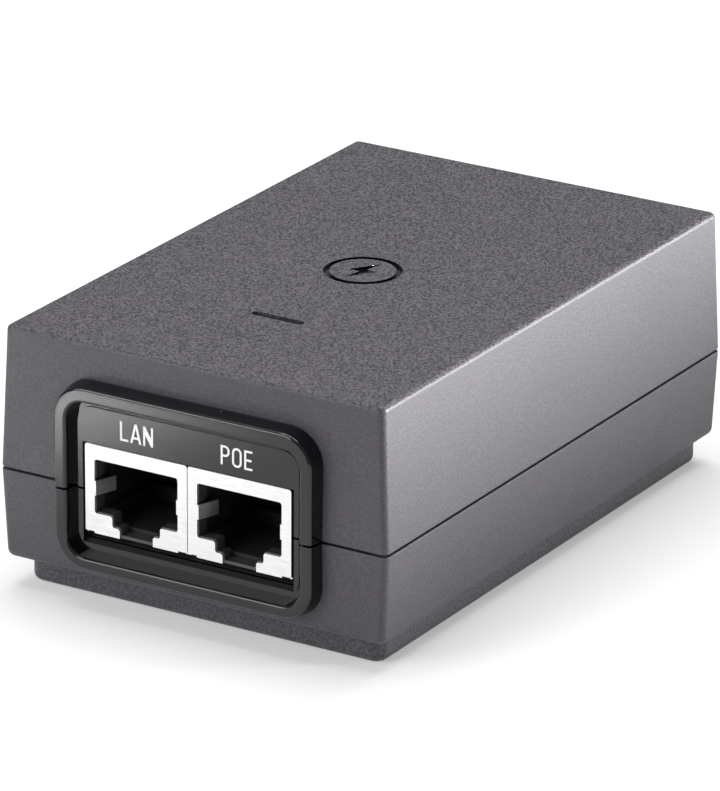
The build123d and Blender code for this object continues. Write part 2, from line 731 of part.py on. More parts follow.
# ---- network jacks: shield, housing and contacts, once for each port ----
cavity_half = opening_width / 2 - mouth_inset
cavity_roof = opening_top - mouth_inset
for port, jack_x in (("lan", -jack_pitch / 2), ("poe", jack_pitch / 2)):
    with BuildPart() as jack_shield:
        with Locations((jack_x, jack_front_y + jack_length / 2, board_top)):
            Box(jack_width, jack_length, jack_height, align=(Align.CENTER, Align.CENTER, Align.MIN))
        fillet(jack_shield.edges().filter_by(Axis.Y).group_by(Axis.Z)[-1], shield_bend)
        with Locations((jack_x, jack_front_y + jack_length / 2, board_top)):
            Box(
                jack_width - 2 * shield_sheet,
                jack_length - 2 * shield_sheet,
                jack_height - shield_sheet,
                align=(Align.CENTER, Align.CENTER, Align.MIN),
                mode=Mode.SUBTRACT,
            )
        with BuildSketch(Plane((jack_x, jack_front_y, board_top), x_dir=(1, 0, 0), z_dir=(0, -1, 0))):
            add(mouth_outline(0))
            with Locations(*[(side * jack_width / 2, 0) for side in (-1, 1)]):
                Rectangle(2 * shield_notch[0], 2 * shield_notch[1])
        extrude(amount=-shield_sheet, mode=Mode.SUBTRACT)
        spring_z = board_top + spring_bottom
        for side in (-1, 1):
            root = jack_x + side * (opening_width / 2 + shield_sheet)
            edge = jack_x + side * opening_width / 2
            tip = jack_x + side * (opening_width / 2 - spring_reach)
            with BuildSketch(Plane.XY.offset(spring_z)):
                with BuildLine():
                    Polyline(
                        (root, jack_front_y),
                        (edge - side * spring_sheet, jack_front_y),
                        (tip, jack_front_y + spring_length),
                        (tip + side * spring_sheet, jack_front_y + spring_length),
                        (edge, jack_front_y + shield_sheet),
                        (root, jack_front_y + shield_sheet),
                        close=True,
                    )
                make_face()
            extrude(amount=spring_height)
    write(jack_shield, f"jack_shield_{port}")

    housing_front = jack_front_y + shield_sheet
    housing_length = jack_length - 2 * shield_sheet
    with BuildPart() as jack_housing:
        with Locations((jack_x, housing_front + housing_length / 2, board_top)):
            Box(
                jack_width - 2 * shield_sheet,
                housing_length,
                jack_height - shield_sheet,
                align=(Align.CENTER, Align.CENTER, Align.MIN),
            )
        # front plate with the stepped mouth, closed below by a thin sill
        with BuildSketch(Plane((jack_x, housing_front, board_top), x_dir=(1, 0, 0), z_dir=(0, -1, 0))):
            add(mouth_outline(mouth_inset))
            Rectangle(tail_width, 2 * mouth_sill, mode=Mode.SUBTRACT)
        extrude(amount=-front_plate, mode=Mode.SUBTRACT)
        # plug cavity, and the room that the plug's latch springs down into
        with Locations((jack_x, housing_front, board_top + opening_shoulder + mouth_inset)):
            Box(
                2 * cavity_half,
                2 * cavity_length,
                cavity_roof - opening_shoulder - mouth_inset,
                align=(Align.CENTER, Align.CENTER, Align.MIN),
                mode=Mode.SUBTRACT,
            )
        with Locations((jack_x, housing_front + front_plate, board_top + latch_room_bottom)):
            Box(
                latch_room_width,
                cavity_length - 2 * front_plate,
                opening_shoulder,
                align=(Align.CENTER, Align.MIN, Align.MIN),
                mode=Mode.SUBTRACT,
            )
        # relief for the shield's spring tabs
        with Locations((jack_x, housing_front, spring_z - spring_relief)):
            Box(
                opening_width + 2 * spring_relief,
                2 * (spring_length + spring_relief),
                spring_height + 2 * spring_relief,
                align=(Align.CENTER, Align.CENTER, Align.MIN),
                mode=Mode.SUBTRACT,
            )
    write(jack_housing, f"jack_housing_{port}")

    roof_z = board_top + cavity_roof
    contact_rear = housing_front + cavity_length
    contact_front = housing_front + front_plate + mouth_sill
    with BuildPart() as jack_contacts:
        for index in range(contact_count):
            contact_x = jack_x + (index - (contact_count - 1) / 2) * contact_pitch
            with BuildSketch(Plane.YZ.offset(contact_x)):
                with BuildLine():
                    FilletPolyline(
                        (contact_rear, roof_z - contact_thickness / 2),
                        (contact_front, roof_z - contact_thickness / 2),
                        (contact_rear - contact_run, roof_z - contact_drop),
                        radius=contact_bend,
                    )
                trace(line_width=contact_thickness)
            extrude(amount=contact_width / 2, both=True)
    write(jack_contacts, f"jack_contacts_{port}")

# ---- light pipe in the indicator slot ----
led_top = board_top + led_size[2]
with BuildPart() as light_pipe:
    with BuildSketch(Plane.XY.offset(ceiling)):
        with Locations((0, indicator_y)):
            SlotOverall(indicator_length - 2 * pipe_gap, indicator_width - 2 * pipe_gap)
    extrude(amount=wall - pipe_sunk)
    with Locations((0, indicator_y, ceiling)):
        Box(
            indicator_length + 2 * pipe_flange,
            indicator_width + 2 * pipe_flange,
            pipe_flange,
            align=(Align.CENTER, Align.CENTER, Align.MAX),
        )
        Box(
            led_size[0],
            indicator_width + pipe_flange,
            ceiling - led_top - 2 * led_lens[1],
            align=(Align.CENTER, Align.CENTER, Align.MAX),
        )
write(light_pipe, "light_pipe")

with BuildPart() as status_led:
    with Locations((0, indicator_y, board_top)):
        Box(*led_size, align=(Align.CENTER, Align.CENTER, Align.MIN))
    with Locations((0, indicator_y, led_top)):
        Cylinder(*led_lens, align=(Align.CENTER, Align.CENTER, Align.MIN))
write(status_led, "status_led")

# ---- main board, its screws and the insulation sheet under it ----
notch_width = board_half_width - boss_x + boss_radius + board_side_gap


def board_outline():
    """The board's outline: a rectangle with its corners cut away round the screw bosses."""
    with BuildSketch() as outline:
        with Locations((0, board_y)):
            Rectangle(2 * board_half_width, board_rear_y - board_front_y)
        for x in (-board_half_width, board_half_width):
            for edge_y, boss_y in ((board_front_y, boss_front_y), (board_rear_y, boss_rear_y)):
                with Locations((x, edge_y)):
                    Rectangle(
                        2 * notch_width,
                        2 * (abs(edge_y - boss_y) + boss_radius + board_side_gap),
                        mode=Mode.SUBTRACT,
                    )
    return outline.sketch


with BuildPart() as main_board:
    with BuildSketch(Plane.XY.offset(board_bottom)):
        add(board_outline())
        with Locations(*board_screw_points):
            Circle(board_screw_radius + 2 * fit_gap, mode=Mode.SUBTRACT)
    extrude(amount=board_thickness)
write(main_board, "main_board")

with BuildPart() as board_screws:
    with BuildSketch(Plane.XY.offset(board_top)):
        with Locations(*board_screw_points):
            Circle(board_screw_head_radius)
    tops = extrude(amount=board_screw_head_height)
    fillet(tops.edges().group_by(Axis.Z)[-1], board_screw_head_height / 3)
    with BuildSketch(Plane.XY.offset(board_top)):
        with Locations(*board_screw_points):
            Circle(board_screw_radius)
    extrude(amount=-(board_thickness + board_standoff - 2 * fit_gap))
    cross_recess(board_screw_points, board_top + board_screw_head_height, board_screw_drive, -1)
write(board_screws, "board_screws")

with BuildPart() as insulation_sheet:
    with BuildSketch(Plane.XY.offset(pocket_top + pocket_wall)):
        add(board_outline())
        with Locations(*post_points):
            Circle(post_radius + fit_gap, mode=Mode.SUBTRACT)
    extrude(amount=sheet_thickness)
write(insulation_sheet, "insulation_sheet")

# ---- mains inlet ----
with BuildPart() as mains_inlet_body:
    with Locations((0, (inlet_front_y + inlet_rear_y) / 2, inlet_z)):
        Box(inlet_width, inlet_length, inlet_height)
    chamfer(mains_inlet_body.faces().sort_by(Axis.Y)[-1].edges(), inlet_bevel)
    with BuildSketch(facing_front(inlet_rear_y)):
        with Locations(*inlet_pin_points):
            Circle(inlet_lobe_radius)
        with BuildLine():
            Polyline(*inlet_pin_points, close=True)
        web = make_face()
        offset(web, amount=inlet_web, mode=Mode.ADD)
    extrude(amount=inlet_cavity, mode=Mode.SUBTRACT)
    with BuildSketch(facing_front(inlet_front_y)):
        with Locations(*inlet_pin_points):
            Circle(inlet_pin_radius + inlet_pin_gap)
    extrude(amount=-inlet_length, mode=Mode.SUBTRACT)
write(mains_inlet_body, "mains_inlet_body")

pin_tip_y = inlet_rear_y - inlet_cavity + inlet_pin_length
with BuildPart() as mains_inlet_pins:
    with BuildSketch(facing_front(inlet_front_y - terminal_thickness)):
        with Locations(*inlet_pin_points):
            Circle(inlet_pin_radius)
    pins = extrude(amount=-(pin_tip_y - inlet_front_y + terminal_thickness))
    fillet(pins.edges().group_by(Axis.Y)[-1], inlet_pin_radius * 0.7)
    for x, z in inlet_pin_points:
        with Locations((x, inlet_front_y - terminal_thickness / 2, board_top)):
            Box(
                terminal_width,
                terminal_thickness,
                z - board_top + terminal_width / 2,
                align=(Align.CENTER, Align.CENTER, Align.MIN),
            )
write(mains_inlet_pins, "mains_inlet_pins")

# ---- mains side of the board: fuse, surge and suppression parts ----
with BuildPart() as fuse:
    can_component([(fuse_x, fuse_y)], fuse_radius, fuse_height)
write(fuse, "fuse")

with BuildPart() as varistor:
    disc_component((varistor_x, varistor_y), varistor_radius, varistor_thickness)
write(varistor, "varistor")

with BuildPart() as x_capacitor:
    with Locations((x_capacitor_x, x_capacitor_y, board_top)):
        Box(*x_capacitor_size, align=(Align.CENTER, Align.CENTER, Align.MIN))
    fillet(x_capacitor.edges().filter_by(Axis.Z) + x_capacitor.edges().group_by(Axis.Z)[-1], can_rim)
write(x_capacitor, "x_capacitor")

with BuildPart() as choke_core:
    with BuildSketch(Plane.XY.offset(board_top + choke_wire)):
        with Locations((choke_x, choke_y)):
            Circle(choke_radius)
            Circle(choke_hole_radius, mode=Mode.SUBTRACT)
    extrude(amount=choke_height)
write(choke_core, "choke_core")

with BuildPart() as choke_windings:
    with BuildSketch(Plane.XY.offset(board_top)):
        with Locations((choke_x, choke_y)):
            Circle(choke_radius + choke_wire)
            Circle(choke_hole_radius - choke_wire, mode=Mode.SUBTRACT)
            Rectangle(2 * (choke_radius + 2 * choke_wire), choke_split, mode=Mode.SUBTRACT)
    extrude(amount=choke_height + 2 * choke_wire)
    with BuildSketch(Plane.XY.offset(board_top + choke_wire)):
        with Locations((choke_x, choke_y)):
            Circle(choke_radius)
            Circle(choke_hole_radius, mode=Mode.SUBTRACT)
    extrude(amount=choke_height, mode=Mode.SUBTRACT)
write(choke_windings, "choke_windings")

with BuildPart() as bridge_rectifier:
    chip((rectifier_x, rectifier_y), bridge_size, *bridge_legs)
write(bridge_rectifier, "bridge_rectifier")

with BuildPart() as y_capacitor:
    disc_component((y_capacitor_x, rectifier_y), y_capacitor_radius, y_capacitor_thickness)
write(y_capacitor, "y_capacitor")

with BuildPart() as bulk_capacitor:
    can_component([(bulk_x, bulk_y)], bulk_radius, bulk_height)
write(bulk_capacitor, "bulk_capacitor")

# ---- power transformer: two core halves, a bobbin and its winding ----
core_bottom = board_top + bobbin_stand
half_height = core_height / 2
window_width = core_width / 2 - 2 * core_leg
with BuildPart() as transformer_core:
    for base, up in ((core_bottom, 1), (core_bottom + core_height, -1)):
        with BuildSketch(facing_front(transformer_y)):
            with Locations((transformer_x, base + up * half_height / 2)):
                Rectangle(core_width, half_height)
            for side in (-1, 1):
                with Locations(
                    (
                        transformer_x + side * (core_leg + window_width / 2),
                        base + up * (half_height + core_back) / 2,
                    )
                ):
                    Rectangle(window_width, half_height - core_back, mode=Mode.SUBTRACT)
        extrude(amount=core_thickness / 2, both=True, clean=False)
write(transformer_core, "transformer_core")

window_bottom = core_bottom + core_back + core_gap
window_top = core_bottom + core_height - core_back - core_gap
tube_size = (2 * (core_leg + core_gap + bobbin_wall), core_thickness + 2 * (core_gap + bobbin_wall))
flange_size = (2 * (core_leg + window_width - bobbin_inset), core_thickness + 2 * bobbin_overhang)
with BuildPart() as transformer_bobbin:
    with BuildSketch(Plane.XY.offset(window_bottom)):
        with Locations((transformer_x, transformer_y)):
            Rectangle(*tube_size)
    extrude(amount=window_top - window_bottom)
    for z in (window_bottom, window_top - bobbin_wall):
        with BuildSketch(Plane.XY.offset(z)):
            with Locations((transformer_x, transformer_y)):
                RectangleRounded(*flange_size, bobbin_wall)
        extrude(amount=bobbin_wall)
    rail_depth = bobbin_overhang - bobbin_inset
    for side in (-1, 1):
        rail_y = transformer_y + side * (core_thickness / 2 + bobbin_inset + rail_depth / 2)
        with Locations((transformer_x, rail_y, board_top)):
            Box(
                core_width - 2 * rail_end_inset,
                rail_depth,
                window_bottom - board_top + bobbin_wall,
                align=(Align.CENTER, Align.CENTER, Align.MIN),
            )
    with BuildSketch(Plane.XY.offset(window_bottom)):
        with Locations((transformer_x, transformer_y)):
            Rectangle(2 * (core_leg + core_gap), core_thickness + 2 * core_gap)
    extrude(amount=window_top - window_bottom, mode=Mode.SUBTRACT)
    with BuildSketch(Plane.XY.offset(board_top)):
        with Locations((transformer_x, transformer_y)):
            Rectangle(core_width + 2 * rail_end_inset, core_thickness + 2 * core_gap)
    extrude(amount=window_bottom - board_top, mode=Mode.SUBTRACT)
    for side in (-1, 1):
        outer_x = transformer_x + side * (core_leg + window_width + core_leg / 2)
        with Locations((outer_x, transformer_y, board_top)):
            Box(
                core_leg + 2 * bobbin_inset,
                core_thickness + 2 * core_gap,
                core_height + bobbin_stand,
                align=(Align.CENTER, Align.CENTER, Align.MIN),
                mode=Mode.SUBTRACT,
            )
write(transformer_bobbin, "transformer_bobbin")

with BuildPart() as transformer_winding:
    with BuildSketch(Plane.XY.offset(window_bottom + bobbin_wall)):
        with Locations((transformer_x, transformer_y)):
            RectangleRounded(flange_size[0] - winding_gap, flange_size[1] - 2 * winding_gap, winding_corner)
            Rectangle(*tube_size, mode=Mode.SUBTRACT)
    extrude(amount=window_top - window_bottom - 2 * bobbin_wall)
write(transformer_winding, "transformer_winding")

# ---- transistor and diode, each on its own heatsink along the left edge ----
plate_height = ceiling - board_top - headroom
tab_thickness, tab_height = transistor_tab
body_thickness, body_height = transistor_body
screw_z = board_top + transistor_lead + tab_height - transistor_hole
for sink_name, device_name, device_y, plate_length in (
    ("secondary_heatsink", "output_diode", diode_y, secondary_plate_length),
    ("primary_heatsink", "switching_transistor", transistor_y, primary_plate_length),
):
    with BuildPart() as heatsink:
        with Locations((plate_x, device_y, board_top)):
            Box(
                heatsink_thickness,
                plate_length,
                plate_height,
                align=(Align.CENTER, Align.CENTER, Align.MIN),
            )
        with Locations((plate_x - heatsink_thickness / 2, device_y, board_top + transistor_lead)):
            with GridLocations(1, plate_length / 4, 1, 4):
                Box(
                    2 * heatsink_fin,
                    heatsink_fin_thickness,
                    plate_height - transistor_lead,
                    align=(Align.CENTER, Align.CENTER, Align.MIN),
                )
        with Locations((plate_x, device_y, screw_z)):
            Cylinder(
                screw_radius + screw_gap, 2 * heatsink_thickness, rotation=(0, 90, 0), mode=Mode.SUBTRACT
            )
    write(heatsink, sink_name)

    with BuildPart() as device:
        with Locations((plate_face_x, device_y, board_top + transistor_lead)):
            Box(
                tab_thickness,
                transistor_width,
                tab_height,
                align=(Align.MIN, Align.CENTER, Align.MIN),
            )
            Box(
                body_thickness,
                transistor_width,
                body_height,
                align=(Align.MIN, Align.CENTER, Align.MIN),
            )
        with Locations((plate_face_x + body_thickness / 2, device_y, board_top)):
            with GridLocations(1, transistor_lead_pitch, 1, 3):
                Box(
                    *transistor_lead_size,
                    transistor_lead + 1,
                    align=(Align.CENTER, Align.CENTER, Align.MIN),
                )
        with Locations((plate_face_x, device_y, screw_z)):
            Cylinder(
                screw_radius + 2 * fit_gap, 4 * tab_thickness, rotation=(0, 90, 0), mode=Mode.SUBTRACT
            )
    write(device, device_name)

with BuildPart() as heatsink_screws:
    for device_y in (diode_y, transistor_y):
        with Locations((plate_face_x + tab_thickness, device_y, screw_z)):
            Cylinder(
                board_screw_head_radius,
                board_screw_head_height,
                rotation=(0, 90, 0),
                align=(Align.CENTER, Align.CENTER, Align.MIN),
            )
            Cylinder(
                screw_radius,
                tab_thickness + heatsink_thickness,
                rotation=(0, -90, 0),
                align=(Align.CENTER, Align.CENTER, Align.MIN),
            )
write(heatsink_screws, "heatsink_screws")

# ---- low-voltage side of the board ----
with BuildPart() as output_capacitors:
    can_component(
        [(side * output_capacitor_x, output_capacitor_y) for side in (-1, 1)],
        output_capacitor_radius,
        output_capacitor_height,
    )
write(output_capacitors, "output_capacitors")

with BuildPart() as output_inductor_core:
    for z, radius, height in (
        (board_top, inductor_radius, inductor_flange),
        (board_top, spool_radius, inductor_height),
        (board_top + inductor_height - inductor_flange, inductor_radius, inductor_flange),
    ):
        with BuildSketch(Plane.XY.offset(z)):
            with Locations((inductor_x, inductor_y)):
                Circle(radius)
        extrude(amount=height)
write(output_inductor_core, "output_inductor_core")

with BuildPart() as output_inductor_winding:
    with BuildSketch(Plane.XY.offset(board_top + inductor_flange)):
        with Locations((inductor_x, inductor_y)):
            Circle(inductor_radius - winding_gap)
            Circle(spool_radius, mode=Mode.SUBTRACT)
    extrude(amount=inductor_height - 2 * inductor_flange)
write(output_inductor_winding, "output_inductor_winding")

with BuildPart() as line_transformer:
    chip((line_transformer_x, line_transformer_y), line_transformer_size, *line_transformer_legs)
write(line_transformer, "line_transformer")

with BuildPart() as surge_protectors:
    for column in (-1, 1):
        for row in (-1, 1):
            place = (
                protector_x + column * (protector_size[0] + part_spacing) / 2,
                protector_y + row * (protector_size[1] + leg_length + part_spacing) / 2,
            )
            chip(place, protector_size, 1, 1, width_of_leg=protector_leg_width)
write(surge_protectors, "surge_protectors")

with BuildPart() as power_controller:
    chip((controller_x, controller_y), controller_size, *controller_legs)
write(power_controller, "power_controller")

with BuildPart() as optocoupler:
    chip((optocoupler_x, controller_y), optocoupler_size, *optocoupler_legs)
write(optocoupler, "optocoupler")
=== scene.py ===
"""Finishes, small parts and a studio for a power-over-Ethernet injector, laid out as an add-on."""

import math

import bpy
from bpy.props import FloatProperty, FloatVectorProperty, IntProperty, PointerProperty
from mathutils import Matrix, Vector


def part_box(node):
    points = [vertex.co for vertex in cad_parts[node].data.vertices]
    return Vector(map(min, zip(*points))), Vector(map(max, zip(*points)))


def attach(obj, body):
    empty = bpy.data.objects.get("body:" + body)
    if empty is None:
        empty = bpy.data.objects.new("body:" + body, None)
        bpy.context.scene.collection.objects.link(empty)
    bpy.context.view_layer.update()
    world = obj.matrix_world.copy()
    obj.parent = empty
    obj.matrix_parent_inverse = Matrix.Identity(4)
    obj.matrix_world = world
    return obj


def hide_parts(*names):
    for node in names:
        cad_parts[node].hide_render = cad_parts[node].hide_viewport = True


bl_info = {
    "name": "Injector finishes",
    "version": (1, 0, 0),
    "blender": (4, 5, 0),
    "location": "3D View > Sidebar > Injector",
    "description": "Adds finishes, small parts and a studio to the injector's packed model",
    "category": "Object",
}

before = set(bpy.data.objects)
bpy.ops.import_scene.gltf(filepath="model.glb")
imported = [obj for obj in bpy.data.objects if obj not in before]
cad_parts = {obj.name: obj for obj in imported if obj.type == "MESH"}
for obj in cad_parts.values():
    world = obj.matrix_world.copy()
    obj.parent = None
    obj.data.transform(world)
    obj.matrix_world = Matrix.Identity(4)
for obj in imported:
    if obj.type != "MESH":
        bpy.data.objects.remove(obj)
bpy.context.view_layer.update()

MM = 0.001
HAIR = 0.02 * MM  # keeps a border or the floor just clear of a surface


# ---- helpers ----
def linear(hex_code):
    """A colour for a node socket, from the sRGB hex value that a colour chart gives."""
    shares = (int(hex_code[i : i + 2], 16) / 255 for i in (1, 3, 5))
    return tuple(c / 12.92 if c <= 0.04045 else ((c + 0.055) / 1.055) ** 2.4 for c in shares) + (1.0,)


def add_node(tree, kind, inputs=None, **settings):
    """Add a node with these settings. An input is named or numbered, and is linked if given a socket."""
    made = tree.nodes.new(kind)
    for name, value in settings.items():
        setattr(made, name, value)
    for key, value in (inputs or {}).items():
        if isinstance(value, bpy.types.NodeSocket):
            tree.links.new(value, made.inputs[key])
        else:
            made.inputs[key].default_value = value
    return made


def start_material(name, **shader_inputs):
    """A new material. Returns it with its node tree and the Object coordinates of its surface."""
    material = bpy.data.materials.new(name)
    material.use_nodes = True
    shader = material.node_tree.nodes["Principled BSDF"]
    for key, value in shader_inputs.items():
        shader.inputs[key.replace("_", " ")].default_value = value
    place = add_node(material.node_tree, "ShaderNodeTexCoord").outputs["Object"]
    return material, material.node_tree, place


def wear(tree, **sockets):
    """Link sockets to a material's shader, by the names of its inputs."""
    shader = tree.nodes["Principled BSDF"]
    for key, socket in sockets.items():
        tree.links.new(socket, shader.inputs[key.replace("_", " ")])


def give(material, *nodes):
    """Put one material on CAD nodes."""
    for node in nodes:
        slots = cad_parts[node].data.materials
        slots.clear()
        slots.append(material)


def settle(piece, material=None, stands_for=None):
    """Finish a piece that rides on the case: its material, and the CAD node it stands for."""
    if material:
        piece.data.materials.clear()
        piece.data.materials.append(material)
    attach(piece, "case")
    if stands_for:
        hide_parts(stands_for)


def mesh_object(name, mesh):
    """A new object at the origin that shows a mesh."""
    made = bpy.data.objects.new(name, mesh)
    bpy.context.scene.collection.objects.link(made)
    return made


def plain_mesh(source, name):
    """What an object's modifiers or curve make of it, as a plain mesh object. The source is removed."""
    bpy.context.view_layer.update()
    shown = source.evaluated_get(bpy.context.evaluated_depsgraph_get())
    mesh = bpy.data.meshes.new_from_object(shown)
    mesh.name = name
    bpy.data.objects.remove(source)
    return mesh_object(name, mesh)


def middle(node):
    """The centre of a CAD node's box."""
    low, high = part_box(node)
    return (Vector(low) + Vector(high)) / 2


# ---- finishes ----
def dress(tree, pattern, crests, tones, patches, roughness, relief_mm):
    """Two tones and relief from one pattern, and roughness that drifts over larger patches. crests are the
    pattern's values where its dark tone ends and where its light tone starts."""
    drift = 0.06  # how far the roughness strays from its mean, either way
    share = add_node(
        tree, "ShaderNodeMapRange", {"Value": pattern, "From Min": crests[0], "From Max": crests[1]}
    ).outputs[0]
    dark, light = (linear(tone) for tone in tones)
    skin = add_node(tree, "ShaderNodeMix", {0: share, 6: dark, 7: light}, data_type="RGBA").outputs[2]
    ends = {"To Min": roughness - drift, "To Max": roughness + drift}
    dull = add_node(
        tree, "ShaderNodeMapRange", {"Value": patches, "From Min": 0.3, "From Max": 0.7, **ends}
    ).outputs[0]
    relief = add_node(
        tree, "ShaderNodeBump", {"Height": pattern, "Strength": 1.0, "Distance": relief_mm * MM}
    )
    wear(tree, Base_Color=skin, Roughness=dull, Normal=relief.outputs[0])


def eroded_plastic(name, settings, grain_mm, relief_mm, speckle, roof_z=None, polished=None):
    """ABS moulded in a spark-eroded mould. The eroded skin is an even, hard-edged grain that scatters
    light, so that black plastic looks grey, speckled where it is seen at a low angle. The real grain is
    about 0.05 mm, too fine to show, and is drawn several times coarser and deeper.

    The roof's half of the mould is eroded deeper than its steep sides, which have to slide out of it.
    speckle is how much of the two-tone grain the sides keep. polished adds the nodes of a factor that is 1
    where the mould was polished: there the plastic shows its own near black and mirrors the room, like
    lacquer."""
    side_relief = 0.35  # the sides' relief, as a share of the roof's
    roof_edge = 0.5 * MM
    flow_length = 16 * MM
    polished_roughness = 0.07
    level = 0.5  # of the polished areas, at the grain's mean height
    material, tree, place = start_material(name, IOR=1.53)
    grain = add_node(
        tree,
        "ShaderNodeTexNoise",
        {"Vector": place, "Scale": 1 / (grain_mm * MM), "Detail": 2.0, "Roughness": 0.6},
    ).outputs[0]
    crest = add_node(
        tree, "ShaderNodeMapRange", {"Value": grain, "From Min": 0.42, "From Max": 0.58}
    ).outputs[0]
    dark, middling, light = (tuple(tone) for tone in (settings.dark, settings.middling, settings.light))
    skin = add_node(tree, "ShaderNodeMix", {0: crest, 6: dark, 7: light}, data_type="RGBA").outputs[2]
    even = add_node(tree, "ShaderNodeMix", {0: speckle, 6: middling, 7: skin}, data_type="RGBA").outputs[2]
    height = grain
    if roof_z is None:
        skin = even
    else:
        # 0 on the steep sides, 1 on the roof, blended over its rounded edge
        up = add_node(tree, "ShaderNodeSeparateXYZ", {0: place}).outputs["Z"]
        deep = add_node(
            tree,
            "ShaderNodeMapRange",
            {"Value": up, "From Min": roof_z - roof_edge, "From Max": roof_z - HAIR},
        ).outputs[0]
        skin = add_node(tree, "ShaderNodeMix", {0: deep, 6: even, 7: skin}, data_type="RGBA").outputs[2]
        shallow = add_node(
            tree, "ShaderNodeMath", {0: grain, 1: side_relief}, operation="MULTIPLY"
        ).outputs[0]
        height = add_node(tree, "ShaderNodeMix", {0: deep, 2: shallow, 3: grain}).outputs[0]
    # flow marks, centimetres long and hardly there
    flow = add_node(
        tree, "ShaderNodeTexNoise", {"Vector": place, "Scale": 1 / flow_length, "Detail": 2.0}
    ).outputs[0]
    dull = add_node(
        tree,
        "ShaderNodeMapRange",
        {"Value": flow, "From Min": 0.3, "From Max": 0.7, "To Min": 0.46, "To Max": 0.54},
    ).outputs[0]
    if polished:
        factor = polished(tree, place)
        lacquer = tuple(settings.lacquer)
        skin = add_node(
            tree, "ShaderNodeMix", {0: factor, 6: skin, 7: lacquer}, data_type="RGBA"
        ).outputs[2]
        dull = add_node(tree, "ShaderNodeMix", {0: factor, 2: dull, 3: polished_roughness}).outputs[0]
        height = add_node(tree, "ShaderNodeMix", {0: factor, 2: height, 3: level}).outputs[0]
    relief = add_node(
        tree, "ShaderNodeBump", {"Height": height, "Strength": 1.0, "Distance": relief_mm * MM}
    )
    wear(tree, Base_Color=skin, Roughness=dull, Normal=relief.outputs[0])
    return material


def moulded(name, dark, light, grain_mm, roughness, relief_mm=0.01, **shader_inputs):
    """A moulded, cast or dipped material: one colour in two close tones, with relief from the same fine
    grain and roughness that drifts over larger patches. A grain that is really too fine to show is drawn a
    few times coarser."""
    patch = 11 * grain_mm * MM
    material, tree, place = start_material(name, **shader_inputs)
    grain = add_node(
        tree, "ShaderNodeTexNoise", {"Vector": place, "Scale": 1 / (grain_mm * MM), "Detail": 4.0}
    ).outputs[0]
    patches = add_node(
        tree, "ShaderNodeTexNoise", {"Vector": place, "Scale": 1 / patch, "Detail": 2.0}
    ).outputs[0]
    dress(tree, grain, (0.35, 0.65), (dark, light), patches, roughness, relief_mm)
    return material


def metal(name, dark, light, line_mm, roughness, along=(1.0, 1.0, 1.0), relief_mm=0.001):
    """A metal or plating: fine drawn, rolled or turned lines, long in the direction that along makes small,
    and cloudy patches that are a little duller, as handling leaves them. Real lines are a few hundredths of
    a millimetre apart, too fine to show, and are drawn about ten times as wide."""
    patch = 3.5 * MM
    material, tree, place = start_material(name, Metallic=1.0)
    drawn = add_node(tree, "ShaderNodeMapping", {"Vector": place, "Scale": along}).outputs[0]
    lines = add_node(
        tree,
        "ShaderNodeTexNoise",
        {"Vector": drawn, "Scale": 1 / (line_mm * MM), "Detail": 4.0, "Roughness": 0.6},
    ).outputs[0]
    patches = add_node(
        tree, "ShaderNodeTexNoise", {"Vector": place, "Scale": 1 / patch, "Detail": 3.0}
    ).outputs[0]
    dress(tree, lines, (0.3, 0.7), (dark, light), patches, roughness, relief_mm)
    return material


def jack_plastic():
    """Glass-filled polyester, moulded: black with a low sheen. The front plate's edges are worn grey by
    plugs. The cavity behind it is matt, and its colour is painted near black as shade deep in the recess.
    The glass is drawn coarser than its 0.01 mm fibres, so that it shows."""
    grain_size, relief_depth = 0.25 * MM, 0.01 * MM
    plate_end, cavity_start = 1.6 * MM, 2.4 * MM  # behind the jacks' faces
    material, tree, place = start_material("glass_filled_pbt", IOR=1.57)
    front_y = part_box("jack_shield_lan")[0][1]
    grain = add_node(
        tree, "ShaderNodeTexNoise", {"Vector": place, "Scale": 1 / grain_size, "Detail": 4.0}
    ).outputs[0]
    back = add_node(tree, "ShaderNodeSeparateXYZ", {0: place}).outputs["Y"]
    # painted shade: behind the front plate the colour darkens to near black, deeper in the cavity
    cavity_shade = add_node(
        tree,
        "ShaderNodeMapRange",
        {"Value": back, "From Min": front_y + plate_end, "From Max": front_y + cavity_start},
    ).outputs[0]
    worn = add_node(
        tree, "ShaderNodeMix", {0: grain, 6: linear("#2b2b2e"), 7: linear("#48484c")}, data_type="RGBA"
    ).outputs[2]
    skin = add_node(
        tree, "ShaderNodeMix", {0: cavity_shade, 6: worn, 7: linear("#060608")}, data_type="RGBA"
    ).outputs[2]
    dull = add_node(tree, "ShaderNodeMapRange", {"Value": cavity_shade, "To Min": 0.4, "To Max": 0.7}).outputs[0]
    relief = add_node(tree, "ShaderNodeBump", {"Height": grain, "Strength": 1.0, "Distance": relief_depth})
    wear(tree, Base_Color=skin, Roughness=dull, Normal=relief.outputs[0])
    return material


